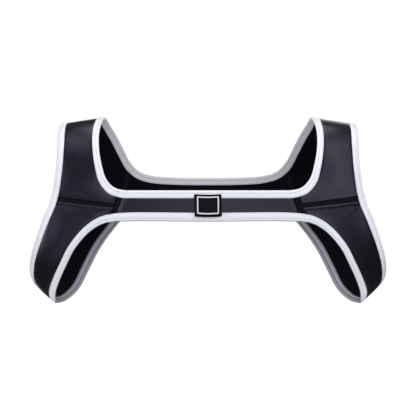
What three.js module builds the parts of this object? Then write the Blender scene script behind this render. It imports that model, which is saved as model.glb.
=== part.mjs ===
// Shoulder harness of bound neoprene: a chest band and a back band joined by two arm loops.
// Millimetres, +Z up, the chest faces -Y, origin midway between the two shoulder crests.
import * as THREE from "three";

const NEOPRENE = 3.0; // thickness of the laminated panels
const TAPE = 0.7; // thickness of the folded binding tape
const CLEARANCE = 0.3; // left between neighbouring pieces
const TAPE_EASE = 0.4; // between the tape and the panel faces it folds over
const EDGE_INSET = TAPE + CLEARANCE; // raw panel edge inside the fold of the tape
const SEAM_INSET = 2.5; // end of a seam inside the fold of the tape
const SEAM_WIDTH = 6.5; // flat seam between two panels
const SEAM_RECESS = 0.4; // each face of a seam lies this far below the panels
const SEAM_JOIN = 0.5; // where a limb seam meets its band seam, as a share from neck to hem
const SEAM_OFFSET = SEAM_WIDTH / 2 + 0.6; // panel edge from the middle of its seam
const LIMB_BOW = 0.068; // how far a limb seam bows out, as a share of its length
// How far a limb bellies out between its edges: beside the limb seam, halfway and at the fold.
const SHOULDER_CROWN = [3.5, 3.5, 0];
const UNDERARM_CROWN = [3.5, 6.8, -1.2];
const BAND_STEPS = 14;
const SEAM_STEPS = 5;
const FOLD_STEPS = 10;
const PATCH = { width: 35.5, height: 29.4, depth: 2.0, corner: 1.6, bevel: 0.4, z: -114.7 };
const FRAME_LINE = { width: 28.8, height: 24.0, line: 2.0, rise: 0.5, corner: 1.2 };

const FINISHES = {
  neoprene: { color: 0x34333b, roughness: 0.92, metalness: 0 },
  tape: { color: 0xebedf3, roughness: 0.85, metalness: 0 },
  seam: { color: 0x1d1d22, roughness: 0.95, metalness: 0 },
  rubber: { color: 0x252528, roughness: 0.6, metalness: 0 },
  line: { color: 0xd3d4d8, roughness: 0.6, metalness: 0 },
};

// Finished neck edge of the left half, from the front centre over the shoulder to the back centre.
// The last column is the finished width of the binding, which narrows where the tape is drawn tight.
const NECK_EDGE = [
  { at: "front_centre", x: 0, y: -96, z: -95.3, tape: 10 },
  { at: "front_band", x: -94.5, y: -91.5, z: -95.4, tape: 10 },
  { at: "front_seam", x: -112, y: -89.3, z: -95.1, tape: 10 },
  { at: "front_bend", x: -124.6, y: -87.9, z: -90.9, tape: 10 },
  { at: "front_corner", x: -134.1, y: -87.1, z: -80, tape: 9.8 },
  { at: "front_low", x: -139.6, y: -83.8, z: -63.6, tape: 9.4 },
  { at: "front_strap", x: -143.9, y: -74.9, z: -42.6, tape: 9.2 },
  { at: "front_high", x: -145.3, y: -59.5, z: -22.8, tape: 9.2 },
  { at: "crest_front", x: -143.7, y: -38.1, z: -8, tape: 9.5 },
  { at: "crest", x: -140.9, y: 0, z: 0, tape: 10 },
  { at: "crest_back", x: -137.9, y: 39.5, z: -9.2, tape: 10 },
  { at: "back_high", x: -129.5, y: 65, z: -25.6, tape: 10 },
  { at: "back_corner", x: -120.5, y: 79.1, z: -45.4, tape: 10 },
  { at: "back_seam", x: -111.4, y: 85.5, z: -63, tape: 10 },
  { at: "back_bend", x: -98.8, y: 88.5, z: -75.7, tape: 10 },
  { at: "back_end", x: -80.9, y: 91, z: -81.7, tape: 10 },
  { at: "back_band", x: -52.1, y: 94.2, z: -84.3, tape: 10 },
  { at: "back_centre", x: 0, y: 96, z: -85.2, tape: 10 },
];

// Finished lower edge of the left half, from the front centre under the arm to the back centre.
const HEM_EDGE = [
  { at: "front_centre", x: 0, y: -96, z: -136.2, tape: 11.6 },
  { at: "front_band", x: -102.5, y: -91.2, z: -136, tape: 11.6 },
  { at: "front_seam", x: -128, y: -88.7, z: -137.4, tape: 10.8 },
  { at: "front_bend", x: -140.5, y: -88, z: -140.6, tape: 10 },
  { at: "front_corner", x: -156.4, y: -87.6, z: -151.1, tape: 9.2 },
  { at: "front_flare", x: -175.2, y: -84.9, z: -172.5, tape: 8.6 },
  { at: "front_low", x: -186.9, y: -78.9, z: -194.2, tape: 8.4 },
  { at: "front_tip", x: -197.4, y: -68.4, z: -215.7, tape: 8.4 },
  { at: "bottom_front", x: -204.1, y: -54.1, z: -233, tape: 8.6 },
  { at: "bottom_near", x: -206, y: -36, z: -245.8, tape: 8.4 },
  { at: "bottom", x: -207.5, y: 0, z: -254.6, tape: 8 },
  { at: "bottom_back", x: -197.2, y: 20.5, z: -252.6, tape: 9.3 },
  { at: "back_tip", x: -182.6, y: 45.7, z: -239.5, tape: 10.4 },
  { at: "back_low", x: -170, y: 67.6, z: -214.3, tape: 10.8 },
  { at: "back_flare", x: -157.6, y: 78.7, z: -189.5, tape: 10.8 },
  { at: "back_corner", x: -145, y: 84, z: -170.1, tape: 10.5 },
  { at: "back_seam", x: -134.3, y: 87.5, z: -156.3, tape: 10.2 },
  { at: "back_bend", x: -117.8, y: 89.3, z: -138.6, tape: 10 },
  { at: "back_end", x: -95.5, y: 91.5, z: -129, tape: 10 },
  { at: "back_band", x: -66.6, y: 94, z: -126.3, tape: 10 },
  { at: "back_centre", x: 0, y: 96, z: -125.8, tape: 10 },
];

// Finished edge of the left armhole, from the crest down the front and up the back.
const ARMHOLE_EDGE = [
  { at: "crest", x: -201.5, y: 0, z: -9.3, tape: 10 },
  { at: "front_high", x: -201.5, y: -40.7, z: -20.1, tape: 10 },
  { at: "front_strap", x: -200.7, y: -58.5, z: -42.8, tape: 10 },
  { at: "front_mid", x: -202, y: -67, z: -70.6, tape: 10 },
  { at: "front_seam", x: -208.3, y: -70, z: -106.8, tape: 10 },
  { at: "front_flare", x: -219.4, y: -69.6, z: -135.7, tape: 10.2 },
  { at: "front_low", x: -228.8, y: -66.9, z: -161.2, tape: 10 },
  { at: "front_tip", x: -236.1, y: -60.3, z: -184.5, tape: 9.6 },
  { at: "bottom_front", x: -239.1, y: -48, z: -204.6, tape: 9.4 },
  { at: "bottom_near", x: -238.4, y: -36.2, z: -214.3, tape: 9.4 },
  { at: "bottom", x: -239.1, y: 0, z: -222, tape: 9.4 },
  { at: "bottom_back", x: -233, y: 48.4, z: -204.5, tape: 9 },
  { at: "back_tip", x: -221.5, y: 60.5, z: -184.5, tape: 9.2 },
  { at: "back_low", x: -205, y: 67.1, z: -160.5, tape: 9.5 },
  { at: "back_flare", x: -190.5, y: 69.7, z: -134.5, tape: 9.6 },
  { at: "back_seam", x: -182, y: 69.9, z: -104.5, tape: 9.8 },
  { at: "back_mid", x: -182, y: 67, z: -70.5, tape: 10 },
  { at: "back_strap", x: -189, y: 58.3, z: -42.5, tape: 10 },
  { at: "back_high", x: -197, y: 39.1, z: -19, tape: 10 },
];

const SAMPLES_PER_ROW = 40;
const { clamp, euclideanModulo, lerp } = THREE.MathUtils;

// A closed edge through the rows of a table, measured by the distance along it.
class Edge {
  constructor(rows) {
    const places = rows.map(({ x, y, z }) => new THREE.Vector3(x, y, z));
    this.rows = rows;
    this.curve = new THREE.CatmullRomCurve3(places, true, "centripetal");
    this.curve.arcLengthDivisions = SAMPLES_PER_ROW * rows.length;
    this.marks = this.curve.getLengths();
    this.length = this.marks.at(-1);
  }

  // Distance of a named row from the start of the edge.
  at(name) {
    return this.marks[SAMPLES_PER_ROW * this.rows.findIndex((row) => row.at === name)];
  }

  share(distance) {
    return euclideanModulo(distance, this.length) / this.length;
  }

  point(distance) {
    return this.curve.getPointAt(this.share(distance));
  }

  tape(distance) {
    const row = this.curve.getUtoTmapping(this.share(distance)) * this.rows.length;
    const [here, next] = [Math.floor(row), Math.floor(row) + 1].map((k) => this.rows[k % this.rows.length]);
    return lerp(here.tape, next.tape, row % 1);
  }

  // Part of the edge as a rail over shares from 0 to 1.
  run(from, to) {
    return {
      place: (share) => this.point(lerp(from, to, share)),
      tape: (share) => this.tape(lerp(from, to, share)),
    };
  }
}

// The rows of a half edge followed by their mirror images, back to the front centre.
function wholeEdge(rows) {
  const right = rows.slice(1, -1).reverse();
  return new Edge([...rows, ...right.map((row) => ({ ...row, x: -row.x }))]);
}

const neck = wholeEdge(NECK_EDGE);
const hem = wholeEdge(HEM_EDGE);
const armhole = new Edge(ARMHOLE_EDGE);

const frontSign = (end) => (end === "front" ? 1 : -1);

// Distance along the neck or the hem to a line beside the middle of a band seam.
function besideSeam(edge, end, offset) {
  const seat = edge.at(`${end}_seam`);
  const seam = neck.point(neck.at(`${end}_seam`)).sub(hem.point(hem.at(`${end}_seam`))).normalize();
  const slant = edge.point(seat + 1).sub(edge.point(seat - 1)).normalize().cross(seam).length();
  return seat + offset / slant;
}

// A line along a band seam from hem to neck, set off sideways towards the back of the harness.
function bandSeamLine(end, offset) {
  const bottom = hem.point(besideSeam(hem, end, offset));
  const top = neck.point(besideSeam(neck, end, offset));
  return (share) => bottom.clone().lerp(top, share);
}

// A line along a limb seam from the band seam to the armhole, raised by a lift.
function limbSeamLine(end, lift) {
  const sign = frontSign(end);
  const beside = bandSeamLine(end, sign * SEAM_OFFSET);
  const join = beside(1 - SEAM_JOIN + lift / beside(0).distanceTo(beside(1)));
  const far = armhole.point(armhole.at(`${end}_seam`) - sign * lift);
  const bow = new THREE.Vector3(0, -sign * LIMB_BOW * join.distanceTo(far), 0);
  return (share) => join.clone().lerp(far, share).addScaledVector(bow, 4 * share * (1 - share));
}

// A rail along a seam, where no tape lies.
const bareRail = (place) => ({ place, tape: () => 0 });

// Stations draw closer together towards the fold over the shoulder or under the arm.
const towardsFold = (share) => share * (1.35 - 0.35 * share);
const fromFold = (share) => 1 - towardsFold(1 - share);
const even = (share) => share;

// Direction of a rail at a share of its length.
function heading({ place }, share) {
  const step = 0.01;
  return place(Math.min(share + step, 1)).sub(place(Math.max(share - step, 0))).normalize();
}

// Smooth run through a value at the start, the middle and the end.
function through([start, middle, end], share) {
  const rest = 1 - share;
  return start * rest * (rest - share) + 4 * middle * rest * share + end * share * (share - rest);
}

// Pairs of places on the two rails of a panel. Where spans meet, the bound one gives the station.
function stationsOf(spans) {
  const stations = [];
  const bound = (span) => span.outer.tape(0.5) > 0;
  for (const [index, span] of spans.entries()) {
    const before = spans[index - 1];
    const after = spans[index + 1];
    const first = before && (bound(before) || !bound(span)) ? 1 : 0;
    const last = after && bound(after) && !bound(span) ? span.steps - 1 : span.steps;
    for (let step = first; step <= last; step += 1) {
      const share = span.pace(step / span.steps);
      stations.push({
        outer: span.outer.place(share),
        inner: span.inner.place(share),
        outerTape: span.outer.tape(share),
        innerTape: span.inner.tape(share),
        outerHeading: heading(span.outer, share),
        innerHeading: heading(span.inner, share),
        crown: through(span.crown, share),
      });
    }
  }
  return stations;
}

// Shares across a panel: raw edges, the lines under the borders of the tape and two lines between.
function panelShares({ outer, inner, outerHeading, innerHeading, outerTape, innerTape }) {
  const across = inner.clone().sub(outer);
  const outerWidth = across.clone().cross(outerHeading).length();
  const innerWidth = across.clone().cross(innerHeading).length();
  const innerLine = 1 - innerTape / innerWidth;
  const outerLine = outerTape > 0 ? outerTape / outerWidth : innerLine / 4;
  const outerEdge = outerTape > 0 ? EDGE_INSET / outerWidth : 0;
  const between = [1 / 3, 2 / 3].map((share) => lerp(outerLine, innerLine, share));
  return [outerEdge, outerLine, ...between, innerLine, 1 - EDGE_INSET / innerWidth];
}

// Unit normals of a grid of points, facing away from the body.
function gridNormals(points) {
  const pick = (j, i) => {
    const row = points[clamp(j, 0, points.length - 1)];
    return row[clamp(i, 0, row.length - 1)];
  };
  return points.map((row, j) =>
    row.map((_, i) => {
      const across = pick(j, i + 1).clone().sub(pick(j, i - 1));
      const along = pick(j + 1, i).clone().sub(pick(j - 1, i));
      return across.cross(along).normalize();
    }),
  );
}

// A panel between its two rails, bellied out by the crown of each station.
function panelSheet(spans) {
  const stations = stationsOf(spans);
  const points = stations.map((station) => {
    const across = station.inner.clone().sub(station.outer);
    const along = station.outerHeading.clone().add(station.innerHeading);
    const out = across.clone().cross(along).normalize();
    return panelShares(station).map((share) =>
      station.outer
        .clone()
        .addScaledVector(across, share)
        .addScaledVector(out, 4 * station.crown * share * (1 - share)),
    );
  });
  return { points, normals: gridNormals(points), stations };
}

// A narrow sheet between two lines, over part of their length.
function stripSheet(outer, inner, from, to) {
  const points = [];
  for (let step = 0; step <= SEAM_STEPS; step += 1) {
    const share = lerp(from, to, step / SEAM_STEPS);
    points.push([outer(share), inner(share)]);
  }
  return { points, normals: gridNormals(points), stations: [] };
}

const mirroredVector = (v) => new THREE.Vector3(-v.x, v.y, v.z);

// The right-hand twin of a left-hand sheet.
function mirrored({ points, normals, stations }) {
  const flip = (grid) => grid.map((row) => row.map(mirroredVector)).reverse();
  const twins = stations.map((station) => ({
    outerTape: station.outerTape,
    outer: mirroredVector(station.outer),
    inner: mirroredVector(station.inner),
  }));
  return { points: flip(points), normals: flip(normals), stations: twins.reverse() };
}

function meshGeometry(places, triangles) {
  const geometry = new THREE.BufferGeometry();
  const numbers = places.flatMap((place) => place.toArray());
  geometry.setAttribute("position", new THREE.Float32BufferAttribute(numbers, 3));
  geometry.setIndex(triangles.flat());
  geometry.computeVertexNormals();
  return geometry;
}

// A closed solid of even thickness about a sheet.
function sheetSolid({ points, normals }, thickness) {
  const rows = points.length;
  const columns = points[0].length;
  const face = (height) =>
    points.flatMap((row, j) => row.map((p, i) => p.clone().addScaledVector(normals[j][i], height)));
  const places = [...face(thickness / 2), ...face(-thickness / 2)];
  const under = rows * columns;
  const at = (j, i) => j * columns + i;
  const triangles = [];
  for (let j = 0; j < rows - 1; j += 1) {
    for (let i = 0; i < columns - 1; i += 1) {
      const [a, b, c, d] = [at(j, i), at(j, i + 1), at(j + 1, i + 1), at(j + 1, i)];
      triangles.push([a, b, c], [a, c, d]);
      triangles.push([under + a, under + c, under + b], [under + a, under + d, under + c]);
    }
  }
  const upTo = (count) => Array.from({ length: count }, (_, k) => k);
  const rim = [
    ...upTo(columns - 1).map((i) => at(0, i)),
    ...upTo(rows - 1).map((j) => at(j, columns - 1)),
    ...upTo(columns - 1).map((i) => at(rows - 1, columns - 1 - i)),
    ...upTo(rows - 1).map((j) => at(rows - 1 - j, 0)),
  ];
  rim.forEach((p, k) => {
    const q = rim[(k + 1) % rim.length];
    triangles.push([p, under + p, under + q], [p, under + q, q]);
  });
  return meshGeometry(places, triangles);
}

// Section of the folded tape at one station: over the outer face, round the fold, back under the panel.
function tapeSection(rim, edge, edgeNormal, line, lineNormal) {
  const slot = NEOPRENE / 2 + TAPE_EASE;
  const outside = slot + TAPE;
  const shoulder = rim.clone().lerp(edge, 0.5);
  const root = rim.clone().lerp(edge, TAPE / EDGE_INSET);
  return [
    { from: line, normal: lineNormal, height: outside, depth: 2 },
    { from: shoulder, normal: edgeNormal, height: outside, depth: 1 },
    { from: rim, normal: edgeNormal, height: outside / 2, depth: 0 },
    { from: rim, normal: edgeNormal, height: -outside / 2, depth: 0 },
    { from: shoulder, normal: edgeNormal, height: -outside, depth: 1 },
    { from: line, normal: lineNormal, height: -outside, depth: 2 },
    { from: line, normal: lineNormal, height: -slot, depth: 2 },
    { from: root, normal: edgeNormal, height: -slot, depth: 1 },
    { from: root, normal: edgeNormal, height: slot, depth: 1 },
    { from: line, normal: lineNormal, height: slot, depth: 2 },
  ];
}

// Tape sections along one side of a sheet, in the order in which the loop of tape runs.
function tapeRun({ points, normals, stations }, side) {
  const edge = side === "outer" ? 0 : points[0].length - 1;
  const line = side === "outer" ? 1 : points[0].length - 2;
  const bound = [...stations.keys()].filter((j) => side === "inner" || stations[j].outerTape > 0);
  const sections = bound.map((j) =>
    tapeSection(stations[j][side], points[j][edge], normals[j][edge], points[j][line], normals[j][line]),
  );
  return side === "outer" ? sections.reverse() : sections;
}

// A closed loop of tape. Each facet is split along the same diagonal as the panel beneath it.
function tapeSolid(sections) {
  const ring = sections[0].length;
  const places = sections.flatMap((section) =>
    section.map(({ from, normal, height }) => from.clone().addScaledVector(normal, height)),
  );
  const triangles = [];
  sections.forEach((section, r) => {
    const here = r * ring;
    const next = ((r + 1) % sections.length) * ring;
    for (let k = 0; k < ring; k += 1) {
      const m = (k + 1) % ring;
      const [a, b, c, d] = [here + k, here + m, next + m, next + k];
      const rising = section[k].depth >= section[m].depth;
      triangles.push(rising ? [a, b, c] : [a, b, d], rising ? [a, c, d] : [b, c, d]);
    }
  });
  return meshGeometry(places, triangles);
}

function roundedRectangle(width, height, corner) {
  const [x, y] = [width / 2, height / 2];
  const shape = new THREE.Shape();
  shape.moveTo(corner - x, -y);
  shape.lineTo(x - corner, -y).absarc(x - corner, corner - y, corner, -Math.PI / 2, 0);
  shape.lineTo(x, y - corner).absarc(x - corner, y - corner, corner, 0, Math.PI / 2);
  shape.lineTo(corner - x, y).absarc(corner - x, y - corner, corner, Math.PI / 2, Math.PI);
  shape.lineTo(-x, corner - y).absarc(corner - x, corner - y, corner, Math.PI, Math.PI * 1.5);
  return shape;
}

// Turns an extrusion to face the front, with its back at a given depth.
function facingFront(geometry, y) {
  return geometry.rotateX(Math.PI / 2).translate(0, y, PATCH.z);
}

const patchBack = NECK_EDGE[0].y - NEOPRENE / 2 - TAPE_EASE - TAPE - CLEARANCE;

function patchGeometry() {
  const { width, height, depth, corner, bevel } = PATCH;
  const slab = new THREE.ExtrudeGeometry(roundedRectangle(width, height, corner), {
    depth: depth - 2 * bevel,
    bevelThickness: bevel,
    bevelSize: bevel,
    bevelOffset: -bevel,
    bevelSegments: 1,
    curveSegments: 4,
  });
  return facingFront(slab.translate(0, 0, bevel), patchBack);
}

function frameGeometry() {
  const { width, height, line, rise, corner } = FRAME_LINE;
  const shape = roundedRectangle(width, height, corner);
  shape.holes.push(roundedRectangle(width - 2 * line, height - 2 * line, corner / 2));
  const ring = new THREE.ExtrudeGeometry(shape, { depth: rise, bevelEnabled: false, curveSegments: 4 });
  return facingFront(ring, patchBack - PATCH.depth - CLEARANCE);
}

// Spans of a limb panel: along one limb seam, to the fold, from the fold and along the other limb seam.
function limbPanel({ seams, outer, inner, crown }) {
  const [near, middle, fold] = crown;
  return panelSheet([
    { steps: SEAM_STEPS, pace: even, outer: seams[0], inner: inner[0], crown: [0, near / 2, near] },
    { steps: FOLD_STEPS, pace: towardsFold, outer: outer[0], inner: inner[1], crown: [near, middle, fold] },
    { steps: FOLD_STEPS, pace: fromFold, outer: outer[1], inner: inner[2], crown: [fold, middle, near] },
    { steps: SEAM_STEPS, pace: even, outer: seams[1], inner: inner[3], crown: [near, near / 2, 0] },
  ]);
}

function shoulderPanel() {
  const backSeam = limbSeamLine("back", SEAM_OFFSET);
  return limbPanel({
    seams: [bareRail(limbSeamLine("front", SEAM_OFFSET)), bareRail((share) => backSeam(1 - share))],
    outer: [
      armhole.run(armhole.at("front_seam") - SEAM_OFFSET, 0),
      armhole.run(armhole.length, armhole.at("back_seam") + SEAM_OFFSET),
    ],
    inner: [
      neck.run(besideSeam(neck, "front", SEAM_OFFSET), neck.at("front_corner")),
      neck.run(neck.at("front_corner"), neck.at("crest")),
      neck.run(neck.at("crest"), neck.at("back_corner")),
      neck.run(neck.at("back_corner"), besideSeam(neck, "back", -SEAM_OFFSET)),
    ],
    crown: SHOULDER_CROWN,
  });
}

function underarmPanel() {
  const frontSeam = limbSeamLine("front", -SEAM_OFFSET);
  return limbPanel({
    seams: [bareRail(limbSeamLine("back", -SEAM_OFFSET)), bareRail((share) => frontSeam(1 - share))],
    outer: [
      armhole.run(armhole.at("back_seam") - SEAM_OFFSET, armhole.at("bottom")),
      armhole.run(armhole.at("bottom"), armhole.at("front_seam") + SEAM_OFFSET),
    ],
    inner: [
      hem.run(besideSeam(hem, "back", -SEAM_OFFSET), hem.at("back_corner")),
      hem.run(hem.at("back_corner"), hem.at("bottom")),
      hem.run(hem.at("bottom"), hem.at("front_corner")),
      hem.run(hem.at("front_corner"), besideSeam(hem, "front", SEAM_OFFSET)),
    ],
    crown: UNDERARM_CROWN,
  });
}

function bandPanel(outer, inner) {
  return panelSheet([{ steps: BAND_STEPS, pace: even, outer, inner, crown: [0, 0, 0] }]);
}

function chestBand() {
  const low = besideSeam(hem, "front", -SEAM_OFFSET);
  const high = besideSeam(neck, "front", -SEAM_OFFSET);
  return bandPanel(hem.run(-low, low), neck.run(-high, high));
}

function backBand() {
  const low = besideSeam(hem, "back", SEAM_OFFSET);
  const high = besideSeam(neck, "back", SEAM_OFFSET);
  return bandPanel(hem.run(low, hem.length - low), neck.run(high, neck.length - high));
}

function bandSeam(end) {
  const half = SEAM_WIDTH / 2;
  const line = bandSeamLine(end, 0);
  const inset = SEAM_INSET / line(0).distanceTo(line(1));
  return stripSheet(bandSeamLine(end, half), bandSeamLine(end, -half), inset, 1 - inset);
}

function limbSeam(end) {
  const half = (frontSign(end) * SEAM_WIDTH) / 2;
  const line = limbSeamLine(end, 0);
  const inset = SEAM_INSET / line(0).distanceTo(line(1));
  return stripSheet(limbSeamLine(end, -half), limbSeamLine(end, half), 0, 1 - inset);
}

function buildHarness() {
  const harness = new THREE.Group();
  harness.name = "shoulder_harness";
  const add = (name, geometry, finish) => {
    const mesh = new THREE.Mesh(geometry, new THREE.MeshStandardMaterial(FINISHES[finish]));
    mesh.name = name;
    harness.add(mesh);
  };
  const addPair = (name, sheet, thickness, finish) => {
    add(`${name}_left`, sheetSolid(sheet, thickness), finish);
    add(`${name}_right`, sheetSolid(mirrored(sheet), thickness), finish);
  };

  const chest = chestBand();
  const back = backBand();
  const shoulder = shoulderPanel();
  const underarm = underarmPanel();
  const shoulderTwin = mirrored(shoulder);
  const underarmTwin = mirrored(underarm);

  add("chest_band", sheetSolid(chest, NEOPRENE), "neoprene");
  add("back_band", sheetSolid(back, NEOPRENE), "neoprene");
  addPair("shoulder_panel", shoulder, NEOPRENE, "neoprene");
  addPair("underarm_panel", underarm, NEOPRENE, "neoprene");
  for (const end of ["front", "back"]) {
    addPair(`limb_seam_${end}`, limbSeam(end), NEOPRENE - 2 * SEAM_RECESS, "seam");
    addPair(`band_seam_${end}`, bandSeam(end), NEOPRENE - 2 * SEAM_RECESS, "seam");
  }

  const neckTape = [chest, shoulder, back, shoulderTwin].flatMap((sheet) => tapeRun(sheet, "inner"));
  const hemTape = [
    ...tapeRun(chest, "outer"),
    ...tapeRun(underarmTwin, "inner"),
    ...tapeRun(back, "outer"),
    ...tapeRun(underarm, "inner"),
  ];
  const armTape = (upper, lower) => [...tapeRun(upper, "outer"), ...tapeRun(lower, "outer")];
  add("neck_binding", tapeSolid(neckTape), "tape");
  add("hem_binding", tapeSolid(hemTape), "tape");
  add("arm_binding_left", tapeSolid(armTape(shoulder, underarm)), "tape");
  add("arm_binding_right", tapeSolid(armTape(shoulderTwin, underarmTwin)), "tape");

  add("patch", patchGeometry(), "rubber");
  add("patch_frame", frameGeometry(), "line");
  return harness;
}

export default buildHarness();
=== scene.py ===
"""Looks of the shoulder harness: jersey-faced neoprene, folded bindings, flat seams and a moulded patch."""

import logging
import math
from collections.abc import Callable, Sequence
from dataclasses import dataclass, field
from enum import Enum

import bmesh
import bpy
import numpy as np
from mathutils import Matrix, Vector


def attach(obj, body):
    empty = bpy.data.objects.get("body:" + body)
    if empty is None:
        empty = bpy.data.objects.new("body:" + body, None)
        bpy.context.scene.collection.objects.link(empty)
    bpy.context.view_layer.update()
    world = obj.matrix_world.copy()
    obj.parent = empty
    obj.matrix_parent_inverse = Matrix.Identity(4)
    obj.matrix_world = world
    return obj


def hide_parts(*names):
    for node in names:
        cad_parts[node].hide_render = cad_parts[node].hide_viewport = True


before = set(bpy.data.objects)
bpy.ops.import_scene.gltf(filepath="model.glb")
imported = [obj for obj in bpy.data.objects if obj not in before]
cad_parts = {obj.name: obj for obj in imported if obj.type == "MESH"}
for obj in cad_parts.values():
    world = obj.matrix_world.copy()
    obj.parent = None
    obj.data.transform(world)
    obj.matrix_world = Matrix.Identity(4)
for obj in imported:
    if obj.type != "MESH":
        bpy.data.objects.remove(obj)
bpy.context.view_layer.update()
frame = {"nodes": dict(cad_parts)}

Array = np.ndarray
Curve = Callable[[Array], Array]
Material = bpy.types.Material
Node = bpy.types.Node
Piece = bpy.types.Object
Socket = bpy.types.NodeSocket
Tree = bpy.types.NodeTree
LOG = logging.getLogger("shoulder_harness")
MM = 0.001


@dataclass(frozen=True)
class Row:
    """A named place on a finished edge, in millimetres, with the finished width of the binding there."""

    at: str
    x: float
    y: float
    z: float
    tape: float


# Neck edge of the left half, from the front centre over the shoulder to the back centre.
NECK_ROWS = (
    Row("front_centre", 0, -96, -95.3, 10),
    Row("front_band", -94.5, -91.5, -95.4, 10),
    Row("front_seam", -112, -89.3, -95.1, 10),
    Row("front_bend", -124.6, -87.9, -90.9, 10),
    Row("front_corner", -134.1, -87.1, -80, 9.8),
    Row("front_low", -139.6, -83.8, -63.6, 8.9),
    Row("front_strap", -143.9, -74.9, -42.6, 8.2),
    Row("front_high", -145.3, -59.5, -22.8, 8.2),
    Row("crest_front", -143.7, -38.1, -8, 8.8),
    Row("crest", -140.9, 0, 0, 9.4),
    Row("crest_back", -137.9, 39.5, -9.2, 10),
    Row("back_high", -129.5, 65, -25.6, 10),
    Row("back_corner", -120.5, 79.1, -45.4, 10),
    Row("back_seam", -111.4, 85.5, -63, 10),
    Row("back_bend", -98.8, 88.5, -75.7, 10),
    Row("back_end", -80.9, 91, -81.7, 10),
    Row("back_band", -52.1, 94.2, -84.3, 10),
    Row("back_centre", 0, 96, -85.2, 10),
)

# Lower edge of the left half, from the front centre under the arm to the back centre.
HEM_ROWS = (
    Row("front_centre", 0, -96, -136.2, 11.6),
    Row("front_band", -102.5, -91.2, -136, 11.6),
    Row("front_seam", -128, -88.7, -137.4, 10.8),
    Row("front_bend", -140.5, -88, -140.6, 10),
    Row("front_corner", -156.4, -87.6, -151.1, 9.2),
    Row("front_flare", -175.2, -84.9, -172.5, 8.6),
    Row("front_low", -186.9, -78.9, -194.2, 8.4),
    Row("front_tip", -197.4, -68.4, -215.7, 8.4),
    Row("bottom_front", -204.1, -54.1, -233, 8.6),
    Row("bottom_near", -206, -36, -245.8, 8.4),
    Row("bottom", -207.5, 0, -254.6, 8),
    Row("bottom_back", -197.2, 20.5, -252.6, 9.3),
    Row("back_tip", -182.6, 45.7, -239.5, 10.4),
    Row("back_low", -170, 67.6, -214.3, 10.8),
    Row("back_flare", -157.6, 78.7, -189.5, 10.8),
    Row("back_corner", -145, 84, -170.1, 10.5),
    Row("back_seam", -134.3, 87.5, -156.3, 10.2),
    Row("back_bend", -117.8, 89.3, -138.6, 10),
    Row("back_end", -95.5, 91.5, -129, 10),
    Row("back_band", -66.6, 94, -126.3, 10),
    Row("back_centre", 0, 96, -125.8, 10),
)

# Edge of the left armhole, from the crest down the front and up the back.
ARMHOLE_ROWS = (
    Row("crest", -201.5, 0, -9.3, 10),
    Row("front_high", -201.5, -40.7, -20.1, 10),
    Row("front_strap", -200.7, -58.5, -42.8, 10),
    Row("front_mid", -202, -67, -70.6, 10),
    Row("front_seam", -208.3, -70, -106.8, 10),
    Row("front_flare", -219.4, -69.6, -135.7, 10.2),
    Row("front_low", -228.8, -66.9, -161.2, 10),
    Row("front_tip", -236.1, -60.3, -184.5, 9.6),
    Row("bottom_front", -239.1, -48, -204.6, 9.4),
    Row("bottom_near", -238.4, -36.2, -214.3, 9.4),
    Row("bottom", -239.1, 0, -222, 9.4),
    Row("bottom_back", -233, 48.4, -204.5, 9),
    Row("back_tip", -221.5, 60.5, -184.5, 9.2),
    Row("back_low", -205, 67.1, -160.5, 9.5),
    Row("back_flare", -190.5, 69.7, -134.5, 9.6),
    Row("back_seam", -182, 69.9, -104.5, 9.8),
    Row("back_mid", -182, 67, -70.5, 10),
    Row("back_strap", -189, 58.3, -42.5, 10),
    Row("back_high", -197, 39.1, -19, 10),
)


class End(Enum):
    """The chest end or the back end of the harness."""

    FRONT = "front"
    BACK = "back"

    @property
    def sign(self) -> int:
        """One at the front and minus one at the back."""
        return 1 if self is End.FRONT else -1


class Hand(Enum):
    """The left or the right half, seen from the front."""

    LEFT = "left"
    RIGHT = "right"


class Side(Enum):
    """The two long sides of a panel: the outer rail or the inner one."""

    OUTER = "outer"
    INNER = "inner"


def unit(vectors: Array) -> Array:
    """Vectors scaled to length one, with null vectors kept."""
    lengths = np.linalg.norm(vectors, axis=-1, keepdims=True)
    return vectors / np.maximum(lengths, 1e-9)


def smooth_step(low: float | Array, high: float | Array, value: Array) -> Array:
    """A smooth rise from 0 at the low value to 1 at the high one."""
    share = np.clip((value - low) / (high - low), 0, 1)
    return share * share * (3 - 2 * share)


def bell(value: Array, centre: float | Array, spread: float) -> Array:
    """A smooth hump of height one about a centre."""
    return np.exp(-(((value - centre) / spread) ** 2))


def flip(vectors: Array) -> Array:
    """Mirror images of points or directions about the middle plane of the harness."""
    return vectors * np.array([-1.0, 1.0, 1.0])


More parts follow.
